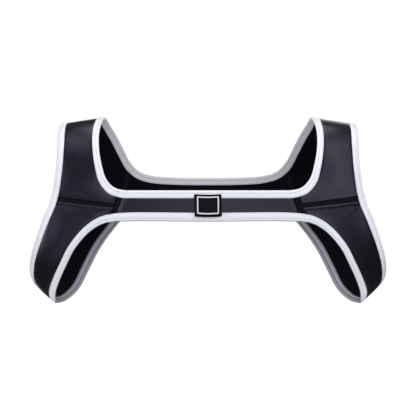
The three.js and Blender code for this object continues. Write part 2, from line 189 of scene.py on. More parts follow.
class Edge:
    """A closed finished edge through its rows, measured by the distance along it in millimetres."""

    SAMPLES = 40

    def __init__(self, rows: Sequence[Row]) -> None:
        """Samples a centripetal curve through the rows.

        Args:
            rows: places that the edge runs through, in order.
        """
        here = np.array([(row.x, row.y, row.z) for row in rows], dtype=float)
        before, after, beyond = (np.roll(here, shift, axis=0) for shift in (1, -1, -2))
        knots = [(before, here), (here, after), (after, beyond)]
        d0, d1, d2 = (np.sqrt(np.linalg.norm(b - a, axis=1))[:, None] for a, b in knots)
        leave = d1 * ((here - before) / d0 - (after - before) / (d0 + d1) + (after - here) / d1)
        arrive = d1 * ((after - here) / d1 - (beyond - here) / (d1 + d2) + (beyond - after) / d2)
        t = np.linspace(0, 1, self.SAMPLES, endpoint=False)[None, :, None]
        parts = [
            here[:, None] * (2 * t**3 - 3 * t**2 + 1),
            leave[:, None] * (t**3 - 2 * t**2 + t),
            after[:, None] * (3 * t**2 - 2 * t**3),
            arrive[:, None] * (t**3 - t**2),
        ]
        self.names = [row.at for row in rows]
        self.samples = np.vstack([sum(parts).reshape(-1, 3), here[:1]])
        steps = np.linalg.norm(np.diff(self.samples, axis=0), axis=1)
        self.marks = np.concatenate([[0.0], np.cumsum(steps)])
        self.length = float(self.marks[-1])
        widths = [row.tape for row in rows] + [rows[0].tape]
        self.widths = np.interp(np.arange(len(self.marks)) / self.SAMPLES, np.arange(len(widths)), widths)

    @classmethod
    def whole(cls, half: Sequence[Row]) -> "Edge":
        """The rows of the left half followed by their mirror images, back to the front centre."""
        right = [Row(row.at, -row.x, row.y, row.z, row.tape) for row in reversed(half[1:-1])]
        return cls([*half, *right])

    def at(self, name: str) -> float:
        """Distance of a named row from the start of the edge."""
        return float(self.marks[self.SAMPLES * self.names.index(name)])

    def places(self, distances: Array) -> Array:
        """Points at distances along the edge."""
        along = np.mod(distances, self.length)
        return np.stack([np.interp(along, self.marks, self.samples[:, k]) for k in range(3)], axis=-1)

    def tapes(self, distances: Array) -> Array:
        """Widths of the binding at distances along the edge."""
        return np.interp(np.mod(distances, self.length), self.marks, self.widths)

    def run(self, start: float, stop: float) -> "Rail":
        """Part of the edge as a rail over shares from 0 to 1.

        Args:
            start: distance where the rail starts.
            stop: distance where it stops, which may lie before the start.

        Returns:
            The rail.
        """
        return Rail(
            lambda shares: self.places(start + (stop - start) * shares),
            lambda shares: self.tapes(start + (stop - start) * shares),
            abs(stop - start),
        )


@dataclass(frozen=True)
class Rail:
    """One side of a panel over shares from 0 to 1, with the width of its binding and its length."""

    places: Curve
    tapes: Curve
    length: float

    STEP = 0.01

    @classmethod
    def bare(cls, places: Curve) -> "Rail":
        """A rail along a seam, where no tape lies."""
        ends = places(np.array([0.0, 1.0]))
        return cls(places, np.zeros_like, float(np.linalg.norm(ends[1] - ends[0])))

    def headings(self, shares: Array) -> Array:
        """Directions of the rail at some shares."""
        after, before = np.minimum(shares + self.STEP, 1), np.maximum(shares - self.STEP, 0)
        return unit(self.places(after) - self.places(before))


@dataclass
class Pattern:
    """Paper pattern of the harness: its finished edges and the lines of its seams, in millimetres.

    Attributes:
        seam_offset: panel edge from the middle of a band seam.
        limb_offset: panel edge from the middle of a limb seam.
        limb_taper: how much of that offset is left where a limb seam meets its band seam.
        seam_join: where a limb seam meets its band seam, as a share from neck to hem.
        limb_bow: how far a limb seam bows out, as a share of its length.
        neck: edge of the neck opening.
        hem: lower edge.
        armhole: edge of the left armhole.
    """

    seam_offset: float = 3.85
    limb_offset: float = 3.3
    limb_taper: float = 0.72
    seam_join: float = 0.5
    limb_bow: float = 0.068
    neck: Edge = field(default_factory=lambda: Edge.whole(NECK_ROWS))
    hem: Edge = field(default_factory=lambda: Edge.whole(HEM_ROWS))
    armhole: Edge = field(default_factory=lambda: Edge(ARMHOLE_ROWS))

    def beside_seam(self, edge: Edge, end: End, offset: float) -> float:
        """Distance along the neck or the hem to a line beside the middle of a band seam.

        Args:
            edge: the neck or the hem.
            end: chest or back.
            offset: distance from the middle of the seam, measured square to it.

        Returns:
            Distance along the edge.
        """
        name = f"{end.value}_seam"
        seat = edge.at(name)
        seam = unit(self.neck.places(self.neck.at(name)) - self.hem.places(self.hem.at(name)))
        heading = unit(edge.places(seat + 1) - edge.places(seat - 1))
        return seat + offset / float(np.linalg.norm(np.cross(heading, seam)))

    def band_seam_line(self, end: End, offset: float) -> Curve:
        """A line along a band seam from hem to neck.

        Args:
            end: chest or back.
            offset: how far the line is set off sideways towards the back of the harness.

        Returns:
            Points at shares of the line.
        """
        bottom = self.hem.places(self.beside_seam(self.hem, end, offset))
        top = self.neck.places(self.beside_seam(self.neck, end, offset))
        return lambda shares: bottom + np.asarray(shares)[..., None] * (top - bottom)

    def limb_seam_line(self, end: End, lift: float) -> Curve:
        """A bowed line along a limb seam from the band seam to the armhole.

        Args:
            end: chest or back.
            lift: how far the line is raised over the middle of the seam.

        Returns:
            Points at shares of the line.
        """
        beside = self.band_seam_line(end, end.sign * self.seam_offset)
        height = float(np.linalg.norm(beside(1.0) - beside(0.0)))
        join = beside(1 - self.seam_join + self.limb_taper * lift / height)
        far = self.armhole.places(self.armhole.at(f"{end.value}_seam") - end.sign * lift)
        bow = np.array([0.0, -end.sign * self.limb_bow * np.linalg.norm(far - join), 0.0])

        def line(shares: Array) -> Array:
            """Points at shares of the seam's length."""
            share = np.asarray(shares)[..., None]
            return join + share * (far - join) + 4 * share * (1 - share) * bow

        return line


@dataclass(frozen=True)
class Span:
    """A stretch of a panel between two rails, with its stations and how far it bellies out."""

    outer: Rail
    inner: Rail
    shares: Array
    crown: tuple[float, float, float] = (0.0, 0.0, 0.0)

    def crowns(self) -> Array:
        """Heights of the belly at the stations, smooth through start, middle and end."""
        (start, middle, stop), share, rest = self.crown, self.shares, 1 - self.shares
        return start * rest * (rest - share) + 4 * middle * rest * share + stop * share * (share - rest)


@dataclass(frozen=True)
class TapeRun:
    """Stations of a binding along one side of a panel, with columns from the fold to the border.

    Attributes:
        mid: points in the middle of the panel, stations by columns.
        normal: directions away from the body.
        inset: distances from the finished edge.
        width: finished widths of the tape.
        dip: how far the tape sinks at each station.
    """

    mid: Array
    normal: Array
    inset: Array
    width: Array
    dip: Array

    OVER_SEAM = np.array([0.3, 0.42, 0.5, 0.58, 0.7])
    DIP_SPREAD = 0.11

    def reversed(self) -> "TapeRun":
        """The same run in the other order."""
        rows = (self.mid, self.normal, self.inset, self.width, self.dip)
        return TapeRun(*(row[::-1] for row in rows))

    @classmethod
    def joined(cls, runs: Sequence["TapeRun"], dip: float) -> "TapeRun":
        """A closed loop of runs, with sunken stations over each seam between them.

        Args:
            runs: runs in the order of the loop.
            dip: how far the tape sinks in the middle of a seam.

        Returns:
            The whole loop.
        """
        pieces = []
        names = ("mid", "normal", "inset", "width")
        for here, after in zip(runs, [*runs[1:], runs[0]]):
            mixed = []
            for name in names:
                start, stop = getattr(here, name)[-1:], getattr(after, name)[:1]
                mixed.append(start + cls.OVER_SEAM.reshape(-1, *[1] * (start.ndim - 1)) * (stop - start))
            mixed[1] = unit(mixed[1])
            pieces += [here, cls(*mixed, dip * bell(cls.OVER_SEAM, 0.5, cls.DIP_SPREAD))]
        names = (*names, "dip")
        return cls(*(np.concatenate([getattr(piece, name) for piece in pieces]) for name in names))


class Sheet:
    """Middle surface of a panel, stations along it by columns across it, from rim to rim.

    Distances of its columns are in millimetres: from the finished edge along the fold of a tape, back from
    the border of the tape, on from that border, and from an edge that has no tape.
    """

    FOLD = np.array([0, 0.12, 0.45, 1.0, 1.6, 2.3, 3.0, 3.7, 4.3])
    BORDER = np.array([3.3, 2.8, 2.2, 1.6, 1.0, 0.45, 0.1, 0])
    BEYOND = np.array([0.5, 1.1, 1.9, 3.0, 4.5, 6.5])
    BARE = np.array(
        [0, 0, 0, 0, 0.1, 0.25, 0.45, 0.7, 1, 1.4, 1.9, 2.5, 3.2, 4, 5, 6, 7, 8.2, 9.5, 11, 12.5, 14, 16]
    )
    BEYOND_ROOM = 0.42
    BARE_ROOM = 0.45
    INSIDE = 11
    RAW = 3
    EASE_ROUNDS = 400
    EASE_FADE = (55, 115)
    TAPED = len(FOLD) + len(BORDER)

    def __init__(self, mid: Array, gaps: dict[Side, Array], tapes: dict[Side, Array]) -> None:
        """Keeps the surface and works out its normals, raw and eased, and the distances from its ends.

        Args:
            mid: points, stations by columns.
            gaps: distances of the points from each long side.
            tapes: widths of the binding on each long side at the stations.
        """
        self.mid = mid
        self.gaps = gaps
        self.tapes = tapes
        rows, columns = mid.shape[:2]
        row = np.arange(rows)
        column = np.arange(columns)
        across = mid[:, np.minimum(column + 1, columns - 1)] - mid[:, np.maximum(column - 1, 0)]
        along = mid[np.minimum(row + 1, rows - 1)] - mid[np.maximum(row - 1, 0)]
        self.normal = unit(np.cross(across, along))
        steps = np.linalg.norm(np.diff(mid, axis=0), axis=2)
        self.from_start = np.concatenate([np.zeros((1, columns)), np.cumsum(steps, axis=0)])
        self.from_end = self.from_start[-1:] - self.from_start
        blurred = self.normal.copy()
        for _ in range(self.EASE_ROUNDS):
            blurred[1:-1] = unit(blurred[:-2] + 2 * blurred[1:-1] + blurred[2:])
        share = 1 - smooth_step(*self.EASE_FADE, np.minimum(self.from_start, self.from_end))
        self.eased = unit(self.normal + share[..., None] * (blurred - self.normal))

    @classmethod
    def between(cls, spans: Sequence[Span]) -> "Sheet":
        """The surface between the rails of some spans, bellied out by their crowns.

        Args:
            spans: stretches of the panel, in order.

        Returns:
            The middle surface.
        """
        places, headings, tapes = {}, {}, {}
        for side in Side:
            rails = [(getattr(span, side.value), span.shares) for span in spans]
            places[side] = np.vstack([rail.places(shares) for rail, shares in rails])
            headings[side] = np.vstack([rail.headings(shares) for rail, shares in rails])
            tapes[side] = np.concatenate([rail.tapes(shares) for rail, shares in rails])
        crown = np.concatenate([span.crowns() for span in spans])
        outer = places[Side.OUTER]
        across = places[Side.INNER] - outer
        out = unit(np.cross(across, headings[Side.OUTER] + headings[Side.INNER]))
        widths = {side: np.linalg.norm(np.cross(across, headings[side]), axis=1) for side in Side}
        shares = cls.columns(tapes, widths)
        belly = (4 * crown[:, None] * shares * (1 - shares))[..., None] * out[:, None]
        mid = outer[:, None] + shares[..., None] * across[:, None] + belly
        gaps = {
            Side.OUTER: shares * widths[Side.OUTER][:, None],
            Side.INNER: (1 - shares) * widths[Side.INNER][:, None],
        }
        return cls(mid, gaps, tapes)

    @classmethod
    def columns(cls, tapes: dict[Side, Array], widths: dict[Side, Array]) -> Array:
        """Places the columns across a panel, close together at the tapes and beside the seams.

        Args:
            tapes: widths of the binding on each long side at the stations.
            widths: widths of the panel, square to each long side.

        Returns:
            Shares from the outer side to the inner one, stations by columns.
        """
        covered = {side: tapes[side] / widths[side] for side in Side}
        clear = 1 - covered[Side.OUTER] - covered[Side.INNER]
        flanks = {}
        for side in Side:
            width = widths[side][:, None]
            tape = tapes[side][:, None]
            room = (clear * widths[side])[:, None]
            taped = np.hstack([np.broadcast_to(cls.FOLD, (len(tape), len(cls.FOLD))), tape - cls.BORDER])
            beyond = tape + cls.BEYOND * np.minimum(1, cls.BEYOND_ROOM * room / cls.BEYOND[-1])
            bare = cls.BARE * np.minimum(1, cls.BARE_ROOM * room / cls.BARE[-1])
            flanks[side] = np.where(tape > 0, np.hstack([taped, beyond]), bare) / width
        left, right = flanks[Side.OUTER], 1 - flanks[Side.INNER][:, ::-1]
        inside = np.linspace(0, 1, cls.INSIDE + 2)[1:-1]
        middle = left[:, -1:] + inside * (right[:, :1] - left[:, -1:])
        return np.hstack([left, middle, right])

    def mirrored(self) -> "Sheet":
        """Mirrors a left-hand sheet.

        Returns:
            Its right-hand twin.
        """
        held = (self.gaps, self.tapes)
        gaps, tapes = ({side: rows[::-1] for side, rows in kept.items()} for kept in held)
        return Sheet(flip(self.mid)[::-1], gaps, tapes)

    def tape_run(self, side: Side) -> TapeRun:
        """Stations of the binding on one side.

        Args:
            side: the outer or the inner side.

        Returns:
            The run, in the order in which the loop of tape runs.
        """
        bound = self.tapes[side] > 0
        columns = slice(0, self.TAPED) if side is Side.OUTER else slice(-1, -1 - self.TAPED, -1)
        mid, normal, inset = (rows[bound][:, columns] for rows in (self.mid, self.normal, self.gaps[side]))
        run = TapeRun(mid, normal, inset, self.tapes[side][bound], np.zeros(int(bound.sum())))
        return run.reversed() if side is Side.OUTER else run


# Sockets of a Mix node that mixes colours
COLOUR_A, COLOUR_B, MIXED = 6, 7, 2

# The wave texture draws a full wave in this length at scale one
WAVE_LENGTH = math.tau / 20


def add(tree: Tree, kind: str, inputs: dict | None = None, **settings: object) -> Node:
    """Adds a node with its settings, values and links.

    Args:
        tree: the node tree.
        kind: Blender's name of the node type.
        inputs: values, output sockets, or nodes for their first output, by input name or index.
        settings: properties of the node.

    Returns:
        The new node.
    """
    node = tree.nodes.new(kind)
    for name, value in settings.items():
        setattr(node, name, value)
    for key, value in (inputs or {}).items():
        source = value.outputs[0] if isinstance(value, Node) else value
        if isinstance(source, Socket):
            tree.links.new(source, node.inputs[key])
        else:
            node.inputs[key].default_value = source
    return node


def linear(colour: str) -> tuple[float, float, float, float]:
    """Turns a colour to linear light.

    Args:
        colour: the colour in sRGB hex.

    Returns:
        Red, green, blue and alpha.
    """
    levels = [int(colour[k : k + 2], 16) / 255 for k in (1, 3, 5)]
    red, green, blue = (v / 12.92 if v <= 0.04045 else ((v + 0.055) / 1.055) ** 2.4 for v in levels)
    return red, green, blue, 1.0


def per_metre(size: float) -> float:
    """Texture scale that repeats a pattern once in a size in millimetres."""
    return 1 / (size * MM)


@dataclass(frozen=True)
class Finish:
    """What all finishes share: a name, a colour, a second colour that mottles it, and a gloss.

    Attributes:
        name: common name of the material.
        colour: main colour in sRGB hex.
        mottle: colour of the faint unevenness.
        mottle_size: size of that unevenness in millimetres.
        roughness: roughness of the surface.
        specular: level of the mirror-like part.
        gleam: tint of the mirror-like part.
    """

    name: str
    colour: str
    mottle: str
    mottle_size: float = 30.0
    roughness: float = 0.8
    specular: float = 0.3
    gleam: str = "#dcdaff"

    def build(self) -> Material:
        """Makes the material with its colour, gloss and relief.

        Returns:
            The material.
        """
        material = bpy.data.materials.new(self.name)
        material.use_nodes = True
        tree = material.node_tree
        tree.nodes.clear()
        place = add(tree, "ShaderNodeTexCoord").outputs["Object"]
        cloud = {"Vector": place, "Scale": per_metre(self.mottle_size), "Detail": 3.0, "Roughness": 0.55}
        patches = add(tree, "ShaderNodeTexNoise", cloud)
        tones = {"Factor": patches, COLOUR_A: linear(self.colour), COLOUR_B: linear(self.mottle)}
        tone = add(tree, "ShaderNodeMix", tones, data_type="RGBA").outputs[MIXED]
        surface = {
            "Base Color": self.shade(tree, tone),
            "Roughness": self.roughness,
            "Specular IOR Level": self.specular,
            "Specular Tint": linear(self.gleam),
            "Normal": self.relief(tree, place),
        }
        shader = add(tree, "ShaderNodeBsdfPrincipled", surface)
        add(tree, "ShaderNodeOutputMaterial", {"Surface": shader})
        return material

    def shade(self, tree: Tree, tone: Socket) -> Socket:
        """Colour of the surface, from its mottled tone."""
        return tone

    def relief(self, tree: Tree, place: Socket) -> Socket:
        """Normal of the surface with its relief."""
        raise NotImplementedError


@dataclass(frozen=True)
class Jersey(Finish):
    """Neoprene foam laminated with fine knit: matt, with a faint grain and a soft unevenness of the foam.

    Attributes:
        stitch: width of a knit stitch, drawn coarser than the real 0.7 mm so that it shows.
        stitch_depth: depth of the knit in millimetres.
        swell: width of the unevenness of the foam in millimetres.
        swell_depth: depth of that unevenness in millimetres.
    """

    stitch: float = 1.5
    stitch_depth: float = 0.09
    swell: float = 26.0
    swell_depth: float = 0.25

    def relief(self, tree: Tree, place: Socket) -> Socket:
        """Foam that is never quite flat, under rows of small knit stitches.

        Args:
            tree: the material's tree.
            place: coordinates on the object.

        Returns:
            Normal of the surface.
        """
        waves = {"Vector": place, "Scale": per_metre(self.swell), "Detail": 1.0}
        foam = add(tree, "ShaderNodeTexNoise", waves)
        hollows = {"Height": foam, "Strength": 1.0, "Distance": self.swell_depth * MM}
        soft = add(tree, "ShaderNodeBump", hollows)
        knit = add(tree, "ShaderNodeTexVoronoi", {"Vector": place, "Scale": per_metre(self.stitch)})
        grain = {"Height": knit, "Strength": 0.6, "Distance": self.stitch_depth * MM, "Normal": soft}
        return add(tree, "ShaderNodeBump", grain, invert=True).outputs["Normal"]


@dataclass(frozen=True)
class WovenTape(Finish):
    """Woven elastic tape: matt, ribbed across its length and puckered where the stitches draw it in.

    Attributes:
        rib: width of a rib, drawn coarser than the real 0.6 mm so that it shows.
        rib_depth: depth of a rib in millimetres.
        pucker: distance between two puckers in millimetres.
        pucker_depth: depth of a pucker in millimetres.
        row_reach: how far from a stitch row the tape puckers, in millimetres.
        row_focus: how closely the painted shade of the groove keeps to the row.
        row_painted_shade: colour painted as shade in the groove of a stitch row.
        fold_painted_shade: colour painted as shade along the fold, where the tape turns away from the
            light.
        fold_reach: how far from the fold that painted shade reaches, in millimetres.
    """

    rib: float = 2.4
    rib_depth: float = 0.05
    pucker: float = 4.0
    pucker_depth: float = 0.12
    row_reach: float = 1.6
    row_focus: float = 4.0
    row_painted_shade: str = "#dcdfea"
    fold_painted_shade: str = "#e7e9f1"
    fold_reach: float = 1.5

    def near_row(self, tree: Tree) -> Socket:
        """Finds the grooves of the stitch rows.

        Args:
            tree: the material's tree.

        Returns:
            One in the groove of a stitch row, falling to zero away from it.
        """
        gap = add(tree, "ShaderNodeAttribute", attribute_name="row_gap").outputs["Fac"]
        reach = {"Value": gap, "From Min": self.row_reach, "From Max": 0.0}
        return add(tree, "ShaderNodeMapRange", reach, interpolation_type="SMOOTHSTEP").outputs["Result"]

    def shade(self, tree: Tree, tone: Socket) -> Socket:
        """Paints shade on the tape along its fold and in the grooves of its stitch rows.

        Args:
            tree: the material's tree.
            tone: mottled tone of the tape.

        Returns:
            Colour of the tape.
        """
        # Painted shade: the tape is darkened towards its fold, where it turns away from the light.
        cloth = add(tree, "ShaderNodeUVMap", uv_map="cloth")
        across = add(tree, "ShaderNodeSeparateXYZ", {"Vector": cloth}).outputs["Y"]
        inset = add(tree, "ShaderNodeMath", {0: across}, operation="ABSOLUTE")
        reach = {"Value": inset, "From Min": self.fold_reach * MM, "From Max": 0.0}
        fold = add(tree, "ShaderNodeMapRange", reach, interpolation_type="SMOOTHSTEP")
        edging = {"Factor": fold, COLOUR_A: tone, COLOUR_B: linear(self.fold_painted_shade)}
        edged = add(tree, "ShaderNodeMix", edging, data_type="RGBA").outputs[MIXED]
        # Painted shade: the tape is darkened in the grooves of its stitch rows.
        deep = add(tree, "ShaderNodeMath", {0: self.near_row(tree), 1: self.row_focus}, operation="POWER")
        sewing = {"Factor": deep, COLOUR_A: edged, COLOUR_B: linear(self.row_painted_shade)}
        return add(tree, "ShaderNodeMix", sewing, data_type="RGBA").outputs[MIXED]

    def relief(self, tree: Tree, place: Socket) -> Socket:
        """Ribs across the tape, and puckers beside the stitch rows.

        Args:
            tree: the material's tree.
            place: coordinates on the object, not used because the ribs follow the tape.

        Returns:
            Normal of the surface.
        """
        cloth = add(tree, "ShaderNodeUVMap", uv_map="cloth")
        ribbing = {"Vector": cloth, "Scale": per_metre(self.rib) * WAVE_LENGTH, "Distortion": 0.0}
        ribs = add(tree, "ShaderNodeTexWave", ribbing, bands_direction="X").outputs["Fac"]
        gathers = {
            "Vector": cloth,
            "Scale": per_metre(self.pucker) * WAVE_LENGTH,
            "Distortion": 1.5,
            "Detail": 1.0,
            "Detail Scale": 0.4,
        }
        folds = add(tree, "ShaderNodeTexWave", gathers, bands_direction="X").outputs["Fac"]
        drawn = add(tree, "ShaderNodeMath", {0: folds, 1: self.near_row(tree)}, operation="MULTIPLY")
        hollows = {"Height": drawn, "Strength": 1.0, "Distance": self.pucker_depth * MM}
        soft = add(tree, "ShaderNodeBump", hollows)
        weave = {"Height": ribs, "Strength": 0.6, "Distance": self.rib_depth * MM, "Normal": soft}
        return add(tree, "ShaderNodeBump", weave).outputs["Normal"]


@dataclass(frozen=True)
class SpunThread(Finish):
    """Spun polyester thread: a slight gloss broken up by its fibres.

    Attributes:
        fibre: width of the fibres' unevenness in millimetres.
        fibre_depth: depth of that unevenness in millimetres.
    """

    fibre: float = 0.5
    fibre_depth: float = 0.06

    def relief(self, tree: Tree, place: Socket) -> Socket:
        """Fibres as a fine uneven grain.

        Args:
            tree: the material's tree.
            place: coordinates on the object.

        Returns:
            Normal of the surface.
        """
        fibres = {"Vector": place, "Scale": per_metre(self.fibre), "Detail": 2.0}
        grain = add(tree, "ShaderNodeTexNoise", fibres)
        raised = {"Height": grain, "Strength": 0.7, "Distance": self.fibre_depth * MM}
        return add(tree, "ShaderNodeBump", raised).outputs["Normal"]


@dataclass(frozen=True)
class MouldedRubber(Finish):
    """Soft rubber from a blasted mould: satin, with a fine pebble grain.

    Attributes:
        pebble: width of a pebble, drawn coarser than the real 0.3 mm so that it shows.
        pebble_depth: depth of the grain in millimetres.
    """

    pebble: float = 0.8
    pebble_depth: float = 0.05

    def relief(self, tree: Tree, place: Socket) -> Socket:
        """Small rounded pebbles.

        Args:
            tree: the material's tree.
            place: coordinates on the object.

        Returns:
            Normal of the surface.
        """
        pebbles = {"Vector": place, "Scale": per_metre(self.pebble)}
        grain = add(tree, "ShaderNodeTexVoronoi", pebbles, feature="SMOOTH_F1")
        raised = {"Height": grain, "Strength": 0.5, "Distance": self.pebble_depth * MM}
        return add(tree, "ShaderNodeBump", raised, invert=True).outputs["Normal"]


class Palette:
    """The finishes of the harness, each built once."""

    def __init__(self) -> None:
        """Builds the materials."""
        # Knit face of the neoprene: near black, with a broad soft gleam along every curve.
        self.face = Jersey(
            "jersey_faced_neoprene", "#0d0c12", "#121117", roughness=0.36, specular=0.35
        ).build()
        # Brushed inside: a deep matt black that takes almost no light.
        self.lining = Jersey(
            "brushed_neoprene_lining", "#060609", "#0a0a0e", roughness=0.95, specular=0.08
        ).build()
        # Cut foam beside a limb seam: a thin dull grey line, partly the foam's own grey and partly a
        # painted highlight where the edge faces up to the light.
        self.foam = Jersey("cut_neoprene_foam", "#413f4a", "#3c3a44", roughness=0.8, specular=0.2).build()
        # Cut foam at the end of a band: the same thin line painted clearly paler, a painted highlight where
        # the edge faces the light from the left.
        self.band_foam_painted_highlight = Jersey(
            "cut_neoprene_foam_painted_highlight", "#7b7884", "#74717d", roughness=0.8, specular=0.2
        ).build()
        # Woven elastic tape: a clean cool white, matt, with a shallow groove at each stitch row that is
        # painted faintly darker as shade.
        white = {"colour": "#e7e9f1", "mottle": "#e2e4ec", "roughness": 0.75, "specular": 0.25}
        self.tape = WovenTape("woven_elastic_tape", **white).build()
        # The same tape on the outer edges, with painted shade: its fold is painted dark grey where it turns
        # away from the light, and shows as a fine grey outline.
        self.outer_tape = WovenTape(
            "woven_elastic_tape_outer_painted_shade", **white, fold_painted_shade="#5e5e66", fold_reach=1.9
        ).build()
        # Inner face of the tape: a flat light grey that is painted shade for the inside of the harness,
        # with its fold and stitch-row grooves painted darker still.
        inner = {"roughness": 0.85, "specular": 0.15}
        self.tape_back_painted_shade = WovenTape(
            "woven_elastic_tape_back",
            "#c8c9d0",
            "#c1c2ca",
            **inner,
            row_painted_shade="#b4b5be",
            fold_painted_shade="#b0b1b8",
        ).build()
        # Inner face of the tape along the hem: a middle grey that is painted shadow, darker than the other
        # inner faces for the shadow the front of the harness casts on the lower back, with a dark groove
        # painted as shade at each stitch row.
        self.hem_back = WovenTape(
            "woven_elastic_tape_hem_back",
            "#9799a5",
            "#8f919d",
            **inner,
            row_reach=2.2,
            row_painted_shade="#383a44",
            fold_painted_shade="#8a8c97",
        ).build()
        # Thread of the first stitch row: small separate grey dots on the white tape, partly the thread's
        # own grey and partly painted shade of its needle holes.
        self.grey_thread_painted_shade = SpunThread(
            "grey_polyester_thread_painted_shade", "#585970", "#51526a", 6.0, roughness=0.7
        ).build()
        # Thread of the row at the border: paler dots that hardly show.
        self.pale_thread = SpunThread(
            "pale_polyester_thread", "#9a9bad", "#9394a6", 6.0, roughness=0.7
        ).build()
        # Covered flat seam: a dead black stripe, coarser and duller than the panels.
        self.seam = SpunThread(
            "black_seam_binding", "#09090b", "#0d0d10", 6.0, roughness=0.9, specular=0.1, fibre=1.4
        ).build()
        # Thread over the seams and round the patch: fine charcoal turns on the black.
        self.black_thread = SpunThread(
            "black_polyester_thread", "#2e2e35", "#35353c", 6.0, roughness=0.6
        ).build()
        # Body of the patch: a plain satin black.
        self.rubber = MouldedRubber(
            "black_moulded_rubber", "#08080a", "#0b0b0d", 12.0, roughness=0.6, specular=0.1
        ).build()
        # Raised line of the patch: a clear off-white with a soft highlight.
        self.line = MouldedRubber("pale_moulded_rubber", "#dfe0e0", "#d6d7d8", 12.0, roughness=0.5).build()


def loft(
    name: str,
    rings: Array,
    closed: bool,
    materials: Sequence[Material],
    finish: Array,
    around: Array | None = None,
    ease: Array | None = None,
) -> Piece:
    """A closed mesh through rings of points, with a cloth UV map in metres.

    Args:
        name: name of the object.
        rings: points in millimetres, rings by points round each ring.
        closed: whether the last ring joins the first; otherwise both ends are capped.
        materials: materials of the object.
        finish: index of the material of each strip round the ring, or of each face, rings by strips.
        around: positions across the cloth of each ring's points, in millimetres.
        ease: change of the shading normals that smooths over kinks, rings by points.

    Returns:
        The object, shaded smooth, with its faces outwards.
    """
    count, size = rings.shape[:2]
    points = rings * MM
    last = np.concatenate([rings, rings[:1]]) if closed else rings
    steps = np.linalg.norm(np.diff(last, axis=0), axis=2).mean(axis=1)
    along = np.concatenate([[0.0], np.cumsum(steps)])
    if around is None:
        turns = np.linalg.norm(np.roll(rings, -1, axis=1) - rings, axis=2).mean(axis=0)
        around = np.broadcast_to(np.concatenate([[0.0], np.cumsum(turns)[:-1]]), (count, size))
    stretches = count if closed else count - 1
    grids = np.meshgrid(np.arange(stretches), np.arange(size), indexing="ij")
    row, column = (grid.ravel() for grid in grids)
    rows = np.stack([row, row, row + 1, row + 1], axis=1)
    columns = np.stack([column, column + 1, column + 1, column], axis=1) % size
    faces = (rows % count) * size + columns
    maps = np.stack([along[rows], around[rows % count, columns]], axis=-1) * MM
    finishes = np.broadcast_to(finish, (count, size))[row, column]
    if not closed:
        k = np.arange(size // 2 - 1)
        cap = np.stack([k, k + 1, size - 2 - k, size - 1 - k], axis=1)
        caps = np.concatenate([cap, (count - 1) * size + cap[:, ::-1]])
        faces = np.concatenate([faces, caps])
        maps = np.concatenate([maps, np.zeros((len(caps), 4, 2))])
        finishes = np.concatenate([finishes, np.full(len(caps), finishes[-1])])
    mesh = bpy.data.meshes.new(name)
    mesh.from_pydata(points.reshape(-1, 3).tolist(), [], faces.tolist())
    mesh.polygons.foreach_set("material_index", finishes.astype(np.int32))
    mesh.polygons.foreach_set("use_smooth", np.ones(len(faces), dtype=bool))
    mesh.uv_layers.new(name="cloth").data.foreach_set("uv", maps.astype(np.float32).ravel())
    shell = bmesh.new()
    shell.from_mesh(mesh)
    bmesh.ops.recalc_face_normals(shell, faces=shell.faces)
    shell.to_mesh(mesh)
    shell.free()
    if ease is not None:
        normals = np.empty(count * size * 3, dtype=np.float32)
        mesh.vertex_normals.foreach_get("vector", normals)
        eased = unit(normals.reshape(-1, 3) + ease.reshape(-1, 3))
        mesh.normals_split_custom_set_from_vertices(eased.tolist())
    for material in materials:
        mesh.materials.append(material)
    piece = bpy.data.objects.new(name, mesh)
    bpy.context.scene.collection.objects.link(piece)
    return piece


def ride(piece: Piece, slot: str, *nodes: str) -> Piece:
    """Fixes a piece to the frame and reports it.

    Args:
        piece: the finished piece.
        slot: the record's material slot; not used.
        nodes: nodes that the piece stands for, which are hidden.

    Returns:
        The piece.
    """
    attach(piece, "root")
    if nodes:
        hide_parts(*nodes)
    LOG.info("%s: %d faces", piece.name, len(piece.data.polygons))
    return piece


@dataclass(frozen=True)
class Guide:
    """A line for threads to follow: its points, the direction across it, and whether it closes."""

    points: Array
    side: Array
    closed: bool


